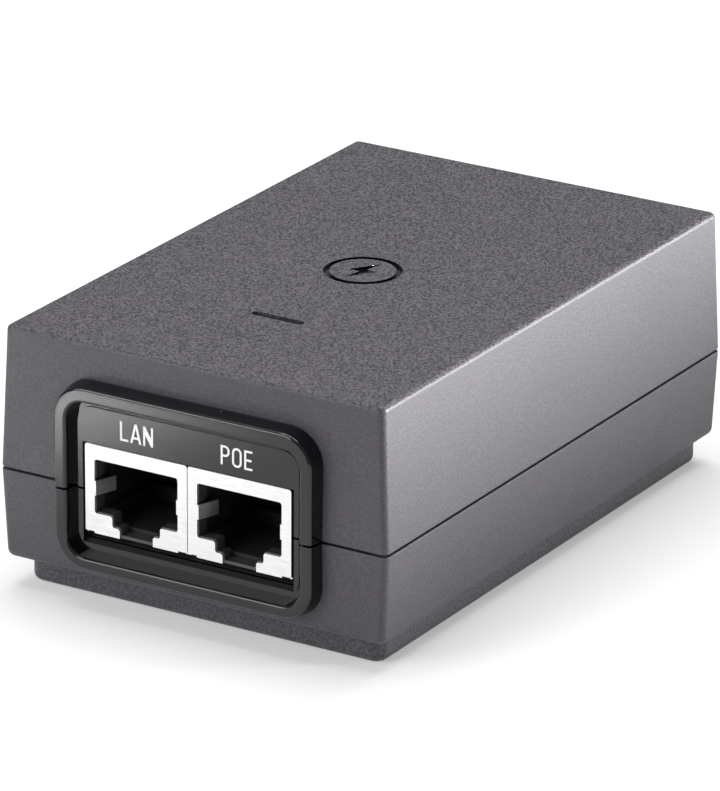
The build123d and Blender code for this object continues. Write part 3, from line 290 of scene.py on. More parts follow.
def solder_mask(name, mask, over_copper, track_mm):
    """Epoxy glass laminate under printed solder mask: a satin coat, lighter and raised by a hair over the
    copper tracks, which turn at right angles."""
    pad_pitch, thread_pitch, copper_height = 4.2 * MM, 0.5 * MM, 0.035 * MM
    track = track_mm * MM / pad_pitch
    material, tree, place = start_material(name, IOR=1.5)
    tracks = add_node(
        tree,
        "ShaderNodeTexVoronoi",
        {"Vector": place, "Scale": 1 / pad_pitch, "Randomness": 0.85},
        distance="CHEBYCHEV",
        voronoi_dimensions="3D",
        feature="F1",
    ).outputs["Distance"]
    # rings of equal distance from scattered pads read as tracks that run beside each other
    ring = add_node(tree, "ShaderNodeMath", {0: tracks, 1: track}, operation="PINGPONG").outputs[0]
    copper = add_node(
        tree,
        "ShaderNodeMapRange",
        {"Value": ring, "From Min": 0.45 * track, "From Max": 0.55 * track},
        interpolation_type="SMOOTHSTEP",
    ).outputs[0]
    skin = add_node(
        tree, "ShaderNodeMix", {0: copper, 6: linear(mask), 7: linear(over_copper)}, data_type="RGBA"
    ).outputs[2]
    # the glass cloth prints through as a faint weave
    weave = add_node(
        tree, "ShaderNodeTexNoise", {"Vector": place, "Scale": 1 / thread_pitch, "Detail": 2.0}
    ).outputs[0]
    dull = add_node(tree, "ShaderNodeMapRange", {"Value": weave, "To Min": 0.26, "To Max": 0.42}).outputs[0]
    relief = add_node(
        tree, "ShaderNodeBump", {"Height": copper, "Strength": 0.6, "Distance": copper_height}
    )
    wear(tree, Base_Color=skin, Roughness=dull, Normal=relief.outputs[0])
    return material


# ---- port words: plain stroke letters ----
def arc(centre, radius, start, end, steps=8):
    """Points on an arc, with angles in degrees."""
    angles = [math.radians(start + (end - start) * i / steps) for i in range(steps + 1)]
    return [(centre[0] + radius * math.cos(a), centre[1] + radius * math.sin(a)) for a in angles]


def rounded(left, bottom, right, top, radius):
    """A closed upright outline with round corners."""
    return (
        arc((right - radius, bottom + radius), radius, -90, 0)
        + arc((right - radius, top - radius), radius, 0, 90)
        + arc((left + radius, top - radius), radius, 90, 180)
        + arc((left + radius, bottom + radius), radius, 180, 270)
    )


# each letter's width, as a share of its height
LETTER_WIDTHS = {"L": 0.47, "A": 0.64, "N": 0.56, "P": 0.5, "O": 0.54, "E": 0.46}


def glyph(letter, w, h, s):
    """The outlines of one plain stroke letter: width w, height h, stroke s."""
    if letter == "L":
        return [[(0, 0), (w, 0), (w, s), (s, s), (s, h), (0, h)]]
    if letter == "E":
        low, high, bar = (h - s) / 2, (h + s) / 2, w - s / 2
        return [
            [(0, 0), (w, 0), (w, s), (s, s), (s, low), (bar, low), (bar, high), (s, high)]
            + [(s, h - s), (w, h - s), (w, h), (0, h)]
        ]
    if letter == "N":
        drop = 0.42 * h  # where the slope leaves an upright, from its other end
        left = [(0, 0), (s, 0), (s, h - drop), (w - s, 0)]
        return [left + [(w, 0), (w, h), (w - s, h), (w - s, drop), (s, h), (0, h)]]
    if letter == "A":
        foot, tip = 1.08 * s, 0.56 * s  # a leg's width where it stands, and half the flat top
        slope = (w / 2 - tip) / h
        bar = 0.22 * h
        bar_top = bar + s
        crotch = (w / 2 - foot) / slope
        low, high = foot + slope * bar, foot + slope * bar_top
        outer = [(0, 0), (foot, 0), (low, bar), (w - low, bar), (w - foot, 0), (w, 0)]
        outer += [(w / 2 + tip, h), (w / 2 - tip, h)]
        inner = [(high, bar_top), (w - high, bar_top), (w / 2, crotch)]
        return [outer, inner]
    if letter == "P":
        low = 0.42 * h  # underside of the bowl
        r = 0.45 * (h - low)
        turns = (w - r, low + r), (w - r, h - r)
        outer = [(0, 0), (s, 0), (s, low)] + arc(turns[0], r, -90, 0) + arc(turns[1], r, 0, 90) + [(0, h)]
        inner = [(s, low + s)] + arc(turns[0], r - s, -90, 0) + arc(turns[1], r - s, 0, 90) + [(s, h - s)]
        return [outer, inner]
    # the letter O, with ends that are almost half circles
    r = 0.48 * w
    return [rounded(0, 0, w, h, r), rounded(s, s, w - s, h - s, r - s)]


def write_word(word, left, right, bottom, height, stroke, thickness, panel_y):
    """A word as a thin raised print that faces the front, spread from left to right. Its sizes are in
    millimetres, and the panel's place is in metres."""
    total = sum(LETTER_WIDTHS[letter] * height for letter in word)
    gap = (right - left - total) / (len(word) - 1)
    curve = bpy.data.curves.new(word, "CURVE")
    curve.dimensions = "2D"
    curve.fill_mode = "BOTH"
    curve.extrude = thickness * MM / 2
    start = left
    for letter in word:
        width = LETTER_WIDTHS[letter] * height
        for outline in glyph(letter, width, height, stroke):
            spline = curve.splines.new("POLY")
            spline.points.add(len(outline) - 1)
            for point, (x, z) in zip(spline.points, outline):
                point.co = ((start + x) * MM, (bottom + z) * MM, 0, 1)
            spline.use_cyclic_u = True
        start += width + gap
    source = bpy.data.objects.new(word, curve)
    bpy.context.scene.collection.objects.link(source)
    printed = plain_mesh(source, f"word_{word.lower()}")
    upright = Matrix.Rotation(math.radians(90), 4, "X")
    printed.data.transform(Matrix.Translation((0, panel_y - thickness * MM / 2, 0)) @ upright)
    return printed


# ---- geometry node trees ----
def start_tree(name, **inputs):
    """A geometry node tree with named inputs of these kinds. Returns it and its input node."""
    tree = bpy.data.node_groups.new(name, "GeometryNodeTree")
    tree.interface.new_socket("Geometry", in_out="INPUT", socket_type="NodeSocketGeometry")
    for label, kind in inputs.items():
        tree.interface.new_socket(label, in_out="INPUT", socket_type=f"NodeSocket{kind}")
    tree.interface.new_socket("Geometry", in_out="OUTPUT", socket_type="NodeSocketGeometry")
    return tree, add_node(tree, "NodeGroupInput").outputs


def finish_tree(tree, geometry, material):
    """End a tree: instances made real, then the material."""
    real = add_node(tree, "GeometryNodeRealizeInstances", {0: geometry}).outputs[0]
    painted = add_node(tree, "GeometryNodeSetMaterial", {"Geometry": real, "Material": material}).outputs[0]
    add_node(tree, "NodeGroupOutput", {0: painted})
    return tree


def grow(name, tree, points, **values):
    """Run a tree on loose points with these input values, and return the result as a plain mesh object."""
    seed = bpy.data.meshes.new(name)
    seed.from_pydata([Vector(p) for p in points], [], [])
    source = mesh_object(f"{name}_seed", seed)
    modifier = source.modifiers.new("grow", "NODES")
    modifier.node_group = tree
    for item in tree.interface.items_tree:
        if item.in_out == "INPUT" and item.name in values:
            modifier[item.identifier] = values[item.name]
    return plain_mesh(source, name)


def toroid_tree(material):
    """Two rows of wire turns round a ring core, centred on each point."""
    tree, given = start_tree(
        "wire_turns_on_a_ring",
        ring_radius="Float",
        half_sweep="Float",
        turns="Int",
        turn_width="Float",
        turn_height="Float",
        wire_radius="Float",
    )
    outline = add_node(
        tree,
        "GeometryNodeCurvePrimitiveQuadrilateral",
        {"Width": given["turn_width"], "Height": given["turn_height"]},
    ).outputs[0]
    # wire bends no tighter than a little over its own thickness
    bend = add_node(
        tree, "ShaderNodeMath", {0: given["wire_radius"], 1: 2.2}, operation="MULTIPLY"
    ).outputs[0]
    turn = add_node(
        tree, "GeometryNodeFilletCurve", {"Curve": outline, "Radius": bend, "Count": 4}, mode="POLY"
    ).outputs[0]
    section = add_node(
        tree, "GeometryNodeCurvePrimitiveCircle", {"Resolution": 10, "Radius": given["wire_radius"]}
    ).outputs[0]
    wire = add_node(tree, "GeometryNodeCurveToMesh", {0: turn, 1: section}).outputs[0]
    back = add_node(
        tree, "ShaderNodeMath", {0: given["half_sweep"], 1: -1.0}, operation="MULTIPLY"
    ).outputs[0]
    sweep = add_node(
        tree, "ShaderNodeMath", {0: given["half_sweep"], 1: 2.0}, operation="MULTIPLY"
    ).outputs[0]
    rows = add_node(tree, "GeometryNodeJoinGeometry")
    for side in (0.0, math.pi):
        start = add_node(
            tree, "ShaderNodeMath", {0: back, 1: math.pi / 2 + side}, operation="ADD"
        ).outputs[0]
        path = add_node(
            tree,
            "GeometryNodeCurveArc",
            {"Resolution": 64, "Radius": given["ring_radius"], "Start Angle": start, "Sweep Angle": sweep},
            mode="RADIUS",
        ).outputs[0]
        spots = add_node(
            tree, "GeometryNodeCurveToPoints", {"Curve": path, "Count": given["turns"]}, mode="COUNT"
        )
        turned = add_node(
            tree,
            "FunctionNodeAxesToRotation",
            {0: spots.outputs["Tangent"], 1: (0.0, 0.0, 1.0)},
            primary_axis="Z",
            secondary_axis="Y",
        ).outputs[0]
        row = add_node(
            tree,
            "GeometryNodeInstanceOnPoints",
            {"Points": spots.outputs["Points"], "Instance": wire, "Rotation": turned},
        ).outputs[0]
        tree.links.new(row, rows.inputs[0])
    placed = add_node(
        tree, "GeometryNodeInstanceOnPoints", {"Points": given["Geometry"], "Instance": rows.outputs[0]}
    ).outputs[0]
    return finish_tree(tree, placed, material)


def solenoid_tree(material):
    """A wire wound upwards from each point round an upright spool."""
    tree, given = start_tree(
        "wire_turns_on_a_spool",
        turns="Float",
        coil_radius="Float",
        coil_height="Float",
        wire_radius="Float",
    )
    coil = add_node(
        tree,
        "GeometryNodeCurveSpiral",
        {
            "Resolution": 28,
            "Rotations": given["turns"],
            "Start Radius": given["coil_radius"],
            "End Radius": given["coil_radius"],
            "Height": given["coil_height"],
        },
    ).outputs[0]
    section = add_node(
        tree, "GeometryNodeCurvePrimitiveCircle", {"Resolution": 10, "Radius": given["wire_radius"]}
    ).outputs[0]
    wire = add_node(tree, "GeometryNodeCurveToMesh", {0: coil, 1: section, "Fill Caps": True}).outputs[0]
    placed = add_node(
        tree, "GeometryNodeInstanceOnPoints", {"Points": given["Geometry"], "Instance": wire}
    ).outputs[0]
    return finish_tree(tree, placed, material)


def joint_tree(material):
    """A cone of solder round the end of a lead, under each point."""
    tree, given = start_tree("solder_joints", pad_radius="Float", lead_radius="Float", joint_height="Float")
    cone = add_node(
        tree,
        "GeometryNodeMeshCone",
        {
            "Vertices": 14,
            "Side Segments": 3,
            "Radius Top": given["pad_radius"],
            "Radius Bottom": given["lead_radius"],
            "Depth": given["joint_height"],
        },
    ).outputs[0]
    # the flank sags inwards half way up, as wet solder does
    waist = 0.72
    spot = add_node(tree, "GeometryNodeInputPosition").outputs[0]
    up = add_node(tree, "ShaderNodeSeparateXYZ", {0: spot}).outputs["Z"]
    share = add_node(
        tree, "ShaderNodeMath", {0: up, 1: given["joint_height"]}, operation="DIVIDE"
    ).outputs[0]
    bow = add_node(tree, "ShaderNodeMath", {0: share, 1: 0.5}, operation="PINGPONG").outputs[0]
    slim = add_node(
        tree, "ShaderNodeMapRange", {"Value": bow, "From Max": 0.5, "To Min": 1.0, "To Max": waist}
    ).outputs[0]
    narrow = add_node(tree, "ShaderNodeCombineXYZ", {0: slim, 1: slim, 2: 1.0}).outputs[0]
    sagged = add_node(tree, "ShaderNodeVectorMath", {0: spot, 1: narrow}, operation="MULTIPLY").outputs[0]
    shaped = add_node(tree, "GeometryNodeSetPosition", {"Geometry": cone, "Position": sagged}).outputs[0]
    placed = add_node(
        tree, "GeometryNodeInstanceOnPoints", {"Points": given["Geometry"], "Instance": shaped}
    ).outputs[0]
    return finish_tree(tree, placed, material)


def chip_tree(name, material):
    """A small block with rounded corners that hangs from each point. About half are turned a quarter."""
    tree, given = start_tree(
        name, length="Float", width="Float", height="Float", corner="Float", seed="Int"
    )
    outline = add_node(
        tree, "GeometryNodeCurvePrimitiveQuadrilateral", {"Width": given["length"], "Height": given["width"]}
    ).outputs[0]
    soft = add_node(
        tree,
        "GeometryNodeFilletCurve",
        {"Curve": outline, "Radius": given["corner"], "Count": 2},
        mode="POLY",
    ).outputs[0]
    lid = add_node(tree, "GeometryNodeFillCurve", {"Curve": soft}, mode="NGONS").outputs[0]
    drop = add_node(tree, "ShaderNodeMath", {0: given["height"], 1: -1.0}, operation="MULTIPLY").outputs[0]
    walls = add_node(tree, "GeometryNodeExtrudeMesh", {"Mesh": lid, "Offset Scale": drop}).outputs[0]
    both = add_node(tree, "GeometryNodeJoinGeometry")
    tree.links.new(lid, both.inputs[0])
    tree.links.new(walls, both.inputs[0])
    seam = 0.001 * MM
    block = add_node(
        tree, "GeometryNodeMergeByDistance", {"Geometry": both.outputs[0], "Distance": seam}
    ).outputs[0]
    chance = add_node(
        tree, "FunctionNodeRandomValue", {"Seed": given["seed"]}, data_type="FLOAT"
    ).outputs["Value"]
    across = add_node(tree, "ShaderNodeMath", {0: chance, 1: 0.5}, operation="GREATER_THAN").outputs[0]
    angle = add_node(tree, "ShaderNodeMath", {0: across, 1: math.pi / 2}, operation="MULTIPLY").outputs[0]
    turned = add_node(tree, "ShaderNodeCombineXYZ", {2: angle}).outputs[0]
    placed = add_node(
        tree,
        "GeometryNodeInstanceOnPoints",
        {"Points": given["Geometry"], "Instance": block, "Rotation": turned},
    ).outputs[0]
    return finish_tree(tree, placed, material)


# ---- settings ----
class CaseSettings(bpy.types.PropertyGroup):
    """Colours and sizes of the case's finish."""

    grain: FloatProperty(
        name="Grain", description="Grain of the eroded surface", default=0.0003, min=0.00005, unit="LENGTH"
    )
    pits: FloatProperty(
        name="Grain depth", description="Depth of the eroded surface", default=0.0001, min=0, unit="LENGTH"
    )
    dark: FloatVectorProperty(
        name="Pits",
        description="Colour in the grain's pits",
        subtype="COLOR",
        size=4,
        default=linear("#1d1b20"),
    )
    middling: FloatVectorProperty(
        name="Skin",
        description="Colour between pits and crests",
        subtype="COLOR",
        size=4,
        default=linear("#3d3a40"),
    )
    light: FloatVectorProperty(
        name="Crests",
        description="Colour on the grain's crests",
        subtype="COLOR",
        size=4,
        default=linear("#5c585f"),
    )
    lacquer: FloatVectorProperty(
        name="Polished",
        description="Colour of the polished areas",
        subtype="COLOR",
        size=4,
        default=linear("#0b0b10"),
    )
    frame_half_width: FloatProperty(
        name="Frame half width",
        description="Half the port frame's width at its root",
        default=0.01875,
        unit="LENGTH",
    )
    frame_bottom: FloatProperty(
        name="Frame bottom",
        description="Height of the port frame's root above the base",
        default=0.00503,
        unit="LENGTH",
    )
    frame_height: FloatProperty(
        name="Frame height",
        description="Height of the port frame's outline",
        default=0.02452,
        unit="LENGTH",
    )
    frame_corner: FloatProperty(
        name="Frame corner",
        description="Corner radius of the port frame's outline",
        default=0.00465,
        unit="LENGTH",
    )
    mark_radius: FloatProperty(
        name="Mark radius", description="Radius of the sunk mark on the roof", default=0.005, unit="LENGTH"
    )
    mark_y: FloatProperty(
        name="Mark place",
        description="Where the mark's centre is along the case",
        default=-0.0006,
        unit="LENGTH",
    )


class WordSettings(bpy.types.PropertyGroup):
    """The printed port words."""

    height: FloatProperty(
        name="Height", description="Height of the letters", default=0.0025, min=0.0005, unit="LENGTH"
    )
    stroke: FloatProperty(
        name="Stroke", description="Width of a letter's stroke", default=0.00027, min=0.00005, unit="LENGTH"
    )
    thickness: FloatProperty(
        name="Thickness", description="Thickness of the print", default=0.00003, min=0.000005, unit="LENGTH"
    )


class WindingSettings(bpy.types.PropertyGroup):
    """The wire of the choke and of the output inductor."""

    choke_turns: IntProperty(
        name="Choke turns", description="Turns in each of the choke's two windings", default=8
    )
    choke_wire: FloatProperty(
        name="Choke wire", description="Radius of the choke's wire", default=0.00037, unit="LENGTH"
    )
    inductor_wire: FloatProperty(
        name="Inductor wire",
        description="Radius of the output inductor's wire",
        default=0.00034,
        unit="LENGTH",
    )


class BoardSettings(bpy.types.PropertyGroup):
    """Small parts on the underside of the circuit board."""

    pad_radius: FloatProperty(
        name="Pad radius",
        description="Radius of a solder joint where it meets the board",
        default=0.00085,
        unit="LENGTH",
    )
    joint_height: FloatProperty(
        name="Joint height", description="Height of a solder joint", default=0.0006, unit="LENGTH"
    )
    chip_scale: FloatProperty(
        name="Chip size",
        description="Size of the chip resistors, as a share of 1.6 x 0.8 mm",
        default=1.0,
        min=0.3,
    )


class StageSettings(bpy.types.PropertyGroup):
    """The studio."""

    floor_colour: FloatVectorProperty(
        name="Floor", description="Colour of the floor", subtype="COLOR", size=4, default=linear("#dedede")
    )
    floor_glow: FloatProperty(
        name="Floor glow",
        description="Light that comes through the floor of the light table",
        default=0.3,
        min=0.0,
    )
    sky_strength: FloatProperty(
        name="Room light", description="Strength of the even room light", default=0.3
    )
    aim: FloatVectorProperty(
        name="Aim",
        description="The point the camera looks at",
        size=3,
        default=(-0.003871, 0.005272, 0.014693),
        unit="LENGTH",
    )
    azimuth: FloatProperty(
        name="Azimuth",
        description="Camera's angle round the object",
        default=math.radians(31.197),
        unit="ROTATION",
    )
    elevation: FloatProperty(
        name="Elevation",
        description="Camera's angle above the floor",
        default=math.radians(21.065),
        unit="ROTATION",
    )
    roll: FloatProperty(
        name="Roll",
        description="Camera's turn about its own axis",
        default=math.radians(0.306),
        unit="ROTATION",
    )
    distance: FloatProperty(
        name="Distance", description="Camera to the aim point", default=0.84025, unit="LENGTH"
    )
    lens: FloatProperty(
        name="Lens", description="Focal length on a 36 mm sensor", default=302.09, unit="CAMERA"
    )


SETTINGS = {
    "injector_case": CaseSettings,
    "injector_words": WordSettings,
    "injector_windings": WindingSettings,
    "injector_board": BoardSettings,
    "injector_stage": StageSettings,
}


# ---- operators ----
class FinishCase(bpy.types.Operator):
    """Give the two shells, the bracket, the light pipe and the screws their finishes"""

    bl_idname = "injector.finish_case"
    bl_label = "Case finishes"

    def execute(self, context):
        settings = context.scene.injector_case
        half_x, half_z, corner = settings.frame_half_width, settings.frame_height / 2, settings.frame_corner
        roof_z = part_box("top_cover")[1][2]
        face_depth = 1.05 * MM  # from the jacks' faces back past the case's leaning front
        frame_border, mark_border = 0.03 * MM, 0.1 * MM  # how far the polish runs over each outline
        face_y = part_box("jack_shield_lan")[0][1] + face_depth
        mark_centre = (0, settings.mark_y, roof_z)
        # a box about the frame, a metre deep so that only its outline counts
        frame_centre = (0, 0, settings.frame_bottom + half_z)
        frame_reach = (half_x - corner, 1.0, half_z - corner)

        def polished(tree, place):
            """1 inside the port frame's outline in front of the case's face, and in the roof's sunk mark."""
            # distance outside a rectangle whose corners are rounded by the same distance
            steps = (
                ("SUBTRACT", frame_centre),
                ("ABSOLUTE", None),
                ("SUBTRACT", frame_reach),
                ("MAXIMUM", (0, 0, 0)),
            )
            offset = place
            for operation, value in steps:
                inputs = {0: offset} if value is None else {0: offset, 1: value}
                offset = add_node(tree, "ShaderNodeVectorMath", inputs, operation=operation).outputs[0]
            outside = add_node(
                tree, "ShaderNodeVectorMath", {0: offset}, operation="LENGTH"
            ).outputs["Value"]
            from_mark = add_node(
                tree, "ShaderNodeVectorMath", {0: place, 1: mark_centre}, operation="DISTANCE"
            ).outputs["Value"]
            split = add_node(tree, "ShaderNodeSeparateXYZ", {0: place}).outputs
            areas = []
            for first, edge, second, limit in (
                (outside, corner + frame_border, split["Y"], face_y),
                (from_mark, settings.mark_radius + mark_border, split["Z"], roof_z - HAIR),
            ):
                inside = add_node(
                    tree, "ShaderNodeMath", {0: first, 1: edge}, operation="LESS_THAN"
                ).outputs[0]
                before = add_node(
                    tree, "ShaderNodeMath", {0: second, 1: limit}, operation="LESS_THAN"
                ).outputs[0]
                area = add_node(tree, "ShaderNodeMath", {0: inside, 1: before}, operation="MULTIPLY")
                areas.append(area.outputs[0])
            return add_node(
                tree, "ShaderNodeMath", {0: areas[0], 1: areas[1]}, operation="MAXIMUM"
            ).outputs[0]

        grain_mm, pits_mm, speckle = settings.grain / MM, settings.pits / MM, 0.22
        give(
            eroded_plastic("spark_eroded_abs", settings, grain_mm, pits_mm, speckle, roof_z, polished),
            "top_cover",
            "bottom_case",
        )
        # a coarser and deeper erosion than the case's, so its grain shows from any side
        grain_mm, pits_mm, speckle = 0.38, 0.12, 0.45
        give(eroded_plastic("coarse_eroded_abs", settings, grain_mm, pits_mm, speckle), "wall_bracket")
        # polycarbonate, smoked and moulded against polished steel: black glass until the LED lights it
        give(
            moulded("smoked_polycarbonate", "#08080a", "#0e0e12", 1.2, 0.16, 0.002, IOR=1.585),
            "light_pipe",
        )
        # steel, zinc plated in a barrel: bluish, bright, slightly dimpled
        give(
            metal("zinc_plated_steel", "#8c9196", "#c2c6c9", 0.3, 0.28),
            "case_screws",
            "board_screws",
            "heatsink_screws",
        )
        return {"FINISHED"}


class FinishJacks(bpy.types.Operator):
    """Give the network jacks' shields, housings and contacts their finishes"""

    bl_idname = "injector.finish_jacks"
    bl_label = "Jack finishes"

    def execute(self, context):
        # sheet steel, rolled and then tinned: near white, satin, with faint lines along the roll
        give(
            metal("tin_plated_steel", "#dbdcda", "#eaebea", 0.25, 0.34, along=(0.1, 1.0, 1.0)),
            "jack_shield_lan",
            "jack_shield_poe",
        )
        give(jack_plastic(), "jack_housing_lan", "jack_housing_poe")
        # phosphor bronze wire, drawn and flashed with gold: smooth and yellow, lines along the wire
        give(
            metal("gold_flashed_bronze", "#b98a36", "#e3b965", 0.2, 0.18, along=(1.0, 0.15, 1.0)),
            "jack_contacts_lan",
            "jack_contacts_poe",
        )
        return {"FINISHED"}


class FinishInlet(bpy.types.Operator):
    """Give the mains inlet's body and pins their finishes"""

    bl_idname = "injector.finish_inlet"
    bl_label = "Inlet finishes"

    def execute(self, context):
        # glass-filled nylon, moulded: black, a little greyer than the jacks, with an orange-peel skin
        give(
            moulded("glass_filled_nylon", "#151517", "#29292c", 0.4, 0.42, 0.02, IOR=1.53),
            "mains_inlet_body",
        )
        # brass, turned and nickel plated: warm grey mirror with turning lines round the pin
        give(
            metal("nickel_plated_brass", "#a7a399", "#cfccc3", 0.2, 0.16, along=(0.3, 1.0, 0.3)),
            "mains_inlet_pins",
        )
        return {"FINISHED"}


class FinishElectronics(bpy.types.Operator):
    """Give the circuit board and its components their finishes"""

    bl_idname = "injector.finish_electronics"
    bl_label = "Electronics finishes"

    def execute(self, context):
        give(solder_mask("masked_epoxy_glass", "#0c3a1d", "#1b5a2f", 0.7), "main_board")
        # polycarbonate film, extruded and matted on one side: milky, smooth
        give(
            moulded("matt_polycarbonate_film", "#c6c8c5", "#d9dbd8", 1.5, 0.38, 0.003, IOR=1.585),
            "insulation_sheet",
        )
        # clear epoxy, cast: glossy, faintly warm
        give(moulded("cast_clear_epoxy", "#d9d6c6", "#ece9dc", 0.6, 0.14, 0.002, IOR=1.5), "status_led")
        # epoxy filled with silica, transfer moulded: near black, dry, very fine grain
        give(
            moulded("silica_filled_epoxy", "#151517", "#2a2a2d", 0.2, 0.52, 0.012),
            "bridge_rectifier",
            "power_controller",
            "optocoupler",
            "surge_protectors",
            "line_transformer",
            "output_diode",
            "switching_transistor",
            "fuse",
        )
        # aluminium, extruded: pale grey, with die lines that run upwards
        give(
            metal("extruded_aluminium", "#8d9093", "#b4b7b9", 0.3, 0.3, along=(1.0, 1.0, 0.05)),
            "primary_heatsink",
            "secondary_heatsink",
        )
        # polyester sleeve, shrunk on the can: dark blue, glossy, slightly rippled
        give(
            moulded("shrunk_pet_sleeve", "#141b38", "#192142", 1.0, 0.22, 0.008, IOR=1.57),
            "bulk_capacitor",
            "output_capacitors",
        )
        # ferrite, sintered and ground: dark grey, stony, with a weak sheen
        give(
            moulded("ground_ferrite", "#2a2a2d", "#4a4a4f", 0.3, 0.5, 0.02, IOR=1.9),
            "transformer_core",
            "choke_core",
            "output_inductor_core",
        )
        # polyester tape, wound over the coil: yellow, glossy, a little uneven
        give(
            moulded("polyester_tape", "#a3841c", "#cbab3c", 1.4, 0.24, 0.02, IOR=1.57),
            "transformer_winding",
        )
        # phenolic resin with wood flour, moulded: brown black, slightly mottled
        give(moulded("wood_filled_phenolic", "#16120f", "#2d2620", 0.35, 0.42, 0.01), "transformer_bobbin")
        # epoxy powder, dipped and cured: blue, glossy, lumpy
        give(moulded("dipped_epoxy", "#17478a", "#1b4f96", 1.1, 0.25, 0.03), "varistor", "y_capacitor")
        # flame-retardant polyester box, moulded: ochre, satin
        give(moulded("moulded_pbt_box", "#ab9537", "#b69f40", 0.4, 0.4, 0.01, IOR=1.57), "x_capacitor")
        return {"FINISHED"}


class WindCoils(bpy.types.Operator):
    """Wind the choke and the output inductor, turn by turn"""

    bl_idname = "injector.wind_coils"
    bl_label = "Wire windings"

    def execute(self, context):
        settings = context.scene.injector_windings
        # copper wire under baked enamel: orange brown, glossy
        wire = metal("enamelled_copper", "#7d3a1a", "#c26a35", 0.5, 0.24)
        core_wall = 2.8 * MM  # from the ring core's bore to its rim
        half_sweep = math.radians(68)  # how far each winding reaches, either way from its middle
        core_low, core_high = (Vector(corner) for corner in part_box("choke_core"))
        centre = middle("choke_core")
        outer = (core_high.x - core_low.x) / 2
        hole = outer - core_wall
        radius = settings.choke_wire
        piece = grow(
            "choke_turns",
            toroid_tree(wire),
            [centre],
            ring_radius=(outer + hole) / 2,
            half_sweep=half_sweep,
            turns=settings.choke_turns,
            turn_width=outer - hole + 2 * radius,
            turn_height=core_high.z - core_low.z + 2 * radius,
            wire_radius=radius,
        )
        settle(piece, stands_for="choke_windings")

        low, high = (Vector(corner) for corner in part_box("output_inductor_winding"))
        radius = settings.inductor_wire
        rise = high.z - low.z - 2 * radius
        pitch = 2.04 * radius  # turns lie all but against each other
        piece = grow(
            "inductor_turns",
            solenoid_tree(wire),
            [(middle("output_inductor_winding").xy.to_tuple() + (low.z + radius,))],
            turns=float(int(rise / pitch)),
            coil_radius=(high.x - low.x) / 2 - radius,
            coil_height=rise,
            wire_radius=radius,
        )
        settle(piece, stands_for="output_inductor_winding")
        return {"FINISHED"}


def lead_places():
    """Where leads come through the board, in metres: (x, y) for each."""
    places = []
    # node, its place's shift towards the rear, columns and rows of leads, and their pitches, in mm
    for node, shift, columns, rows, pitch_x, pitch_y in (
        ("jack_housing_lan", 4.0, 4, 2, 2.04, 2.54),
        ("jack_housing_poe", 4.0, 4, 2, 2.04, 2.54),
        ("transformer_bobbin", 0.0, 4, 2, 4.0, 15.0),
        ("bulk_capacitor", 0.0, 2, 1, 7.5, 0.0),
        ("choke_windings", 0.0, 2, 2, 7.0, 8.0),
        ("x_capacitor", 0.0, 1, 2, 0.0, 7.5),
        ("y_capacitor", 0.0, 2, 1, 3.4, 0.0),
        ("varistor", 0.0, 2, 1, 5.0, 0.0),
        ("fuse", 0.0, 2, 1, 5.0, 0.0),
        ("mains_inlet_pins", -7.5, 3, 1, 4.6, 0.0),
        ("output_inductor_core", 0.0, 2, 1, 5.0, 0.0),
        ("output_diode", 0.0, 1, 3, 0.0, 2.54),
        ("switching_transistor", 0.0, 1, 3, 0.0, 2.54),
        ("output_capacitors", -1.75, 2, 1, 38.9, 0.0),
        ("output_capacitors", 1.75, 2, 1, 38.9, 0.0),
    ):
        centre = middle(node)
        for column in range(columns):
            for row in range(rows):
                x = centre.x + (column - (columns - 1) / 2) * pitch_x * MM
                y = centre.y + (shift + (row - (rows - 1) / 2) * pitch_y) * MM
                places.append(Vector((x, y)))
    return places


class SolderBoard(bpy.types.Operator):
    """Solder the leads on the underside of the circuit board"""

    bl_idname = "injector.solder_board"
    bl_label = "Solder joints"

    def execute(self, context):
        settings = context.scene.injector_board
        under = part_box("main_board")[0][2]
        lead_radius = 0.3 * MM
        # tin alloy, wave soldered: bright where it flowed, with a satin skin
        solder = metal("wave_soldered_tin", "#b4b6b8", "#d9dadb", 0.4, 0.24)
        tips = [place.to_tuple() + (under - settings.joint_height,) for place in lead_places()]
        piece = grow(
            "solder_joints",
            joint_tree(solder),
            tips,
            pad_radius=settings.pad_radius,
            lead_radius=lead_radius,
            joint_height=settings.joint_height,
        )
        settle(piece)
        return {"FINISHED"}


class PlaceChips(bpy.types.Operator):
    """Place chip resistors on the underside of the circuit board, clear of the solder joints"""

    bl_idname = "injector.place_chips"
    bl_label = "Chip resistors"

    def execute(self, context):
        settings = context.scene.injector_board
        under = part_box("main_board")[0][2]
        joints = lead_places()
        columns, rows, pitch = 9, 14, 4.4 * MM
        clear = 2.0 * MM  # from a chip's centre to the nearest solder joint
        corner = 0.06 * MM
        spots = []
        for column in range(columns):
            for row in range(rows):
                spot = Vector(((column - (columns - 1) / 2) * pitch, (row - (rows - 1) / 2) * pitch))
                if min((spot - joint).length for joint in joints) > clear:
                    spots.append(spot.to_tuple() + (under,))
        # two of every three places stay bare
        spots = spots[::3]
        # alumina, glazed: black, glossy, smooth
        glaze = moulded("glazed_alumina", "#131316", "#232327", 0.3, 0.3, 0.003)
        # nickel, tinned: bright, satin
        ends = metal("tinned_nickel", "#b7b8b9", "#d4d5d5", 0.2, 0.3)
        # name, slot, material, and length, width and height in mm
        for name, slot_name, material, length, width, height in (
            ("chip_bodies", "chip_black", glaze, 1.1, 0.84, 0.44),
            ("chip_ends", "jack_shield", ends, 1.6, 0.8, 0.42),
        ):
            piece = grow(
                name,
                chip_tree(name, material),
                spots,
                length=length * settings.chip_scale * MM,
                width=width * settings.chip_scale * MM,
                height=height * MM,
                corner=corner,
                seed=5,
            )
            settle(piece)
        return {"FINISHED"}


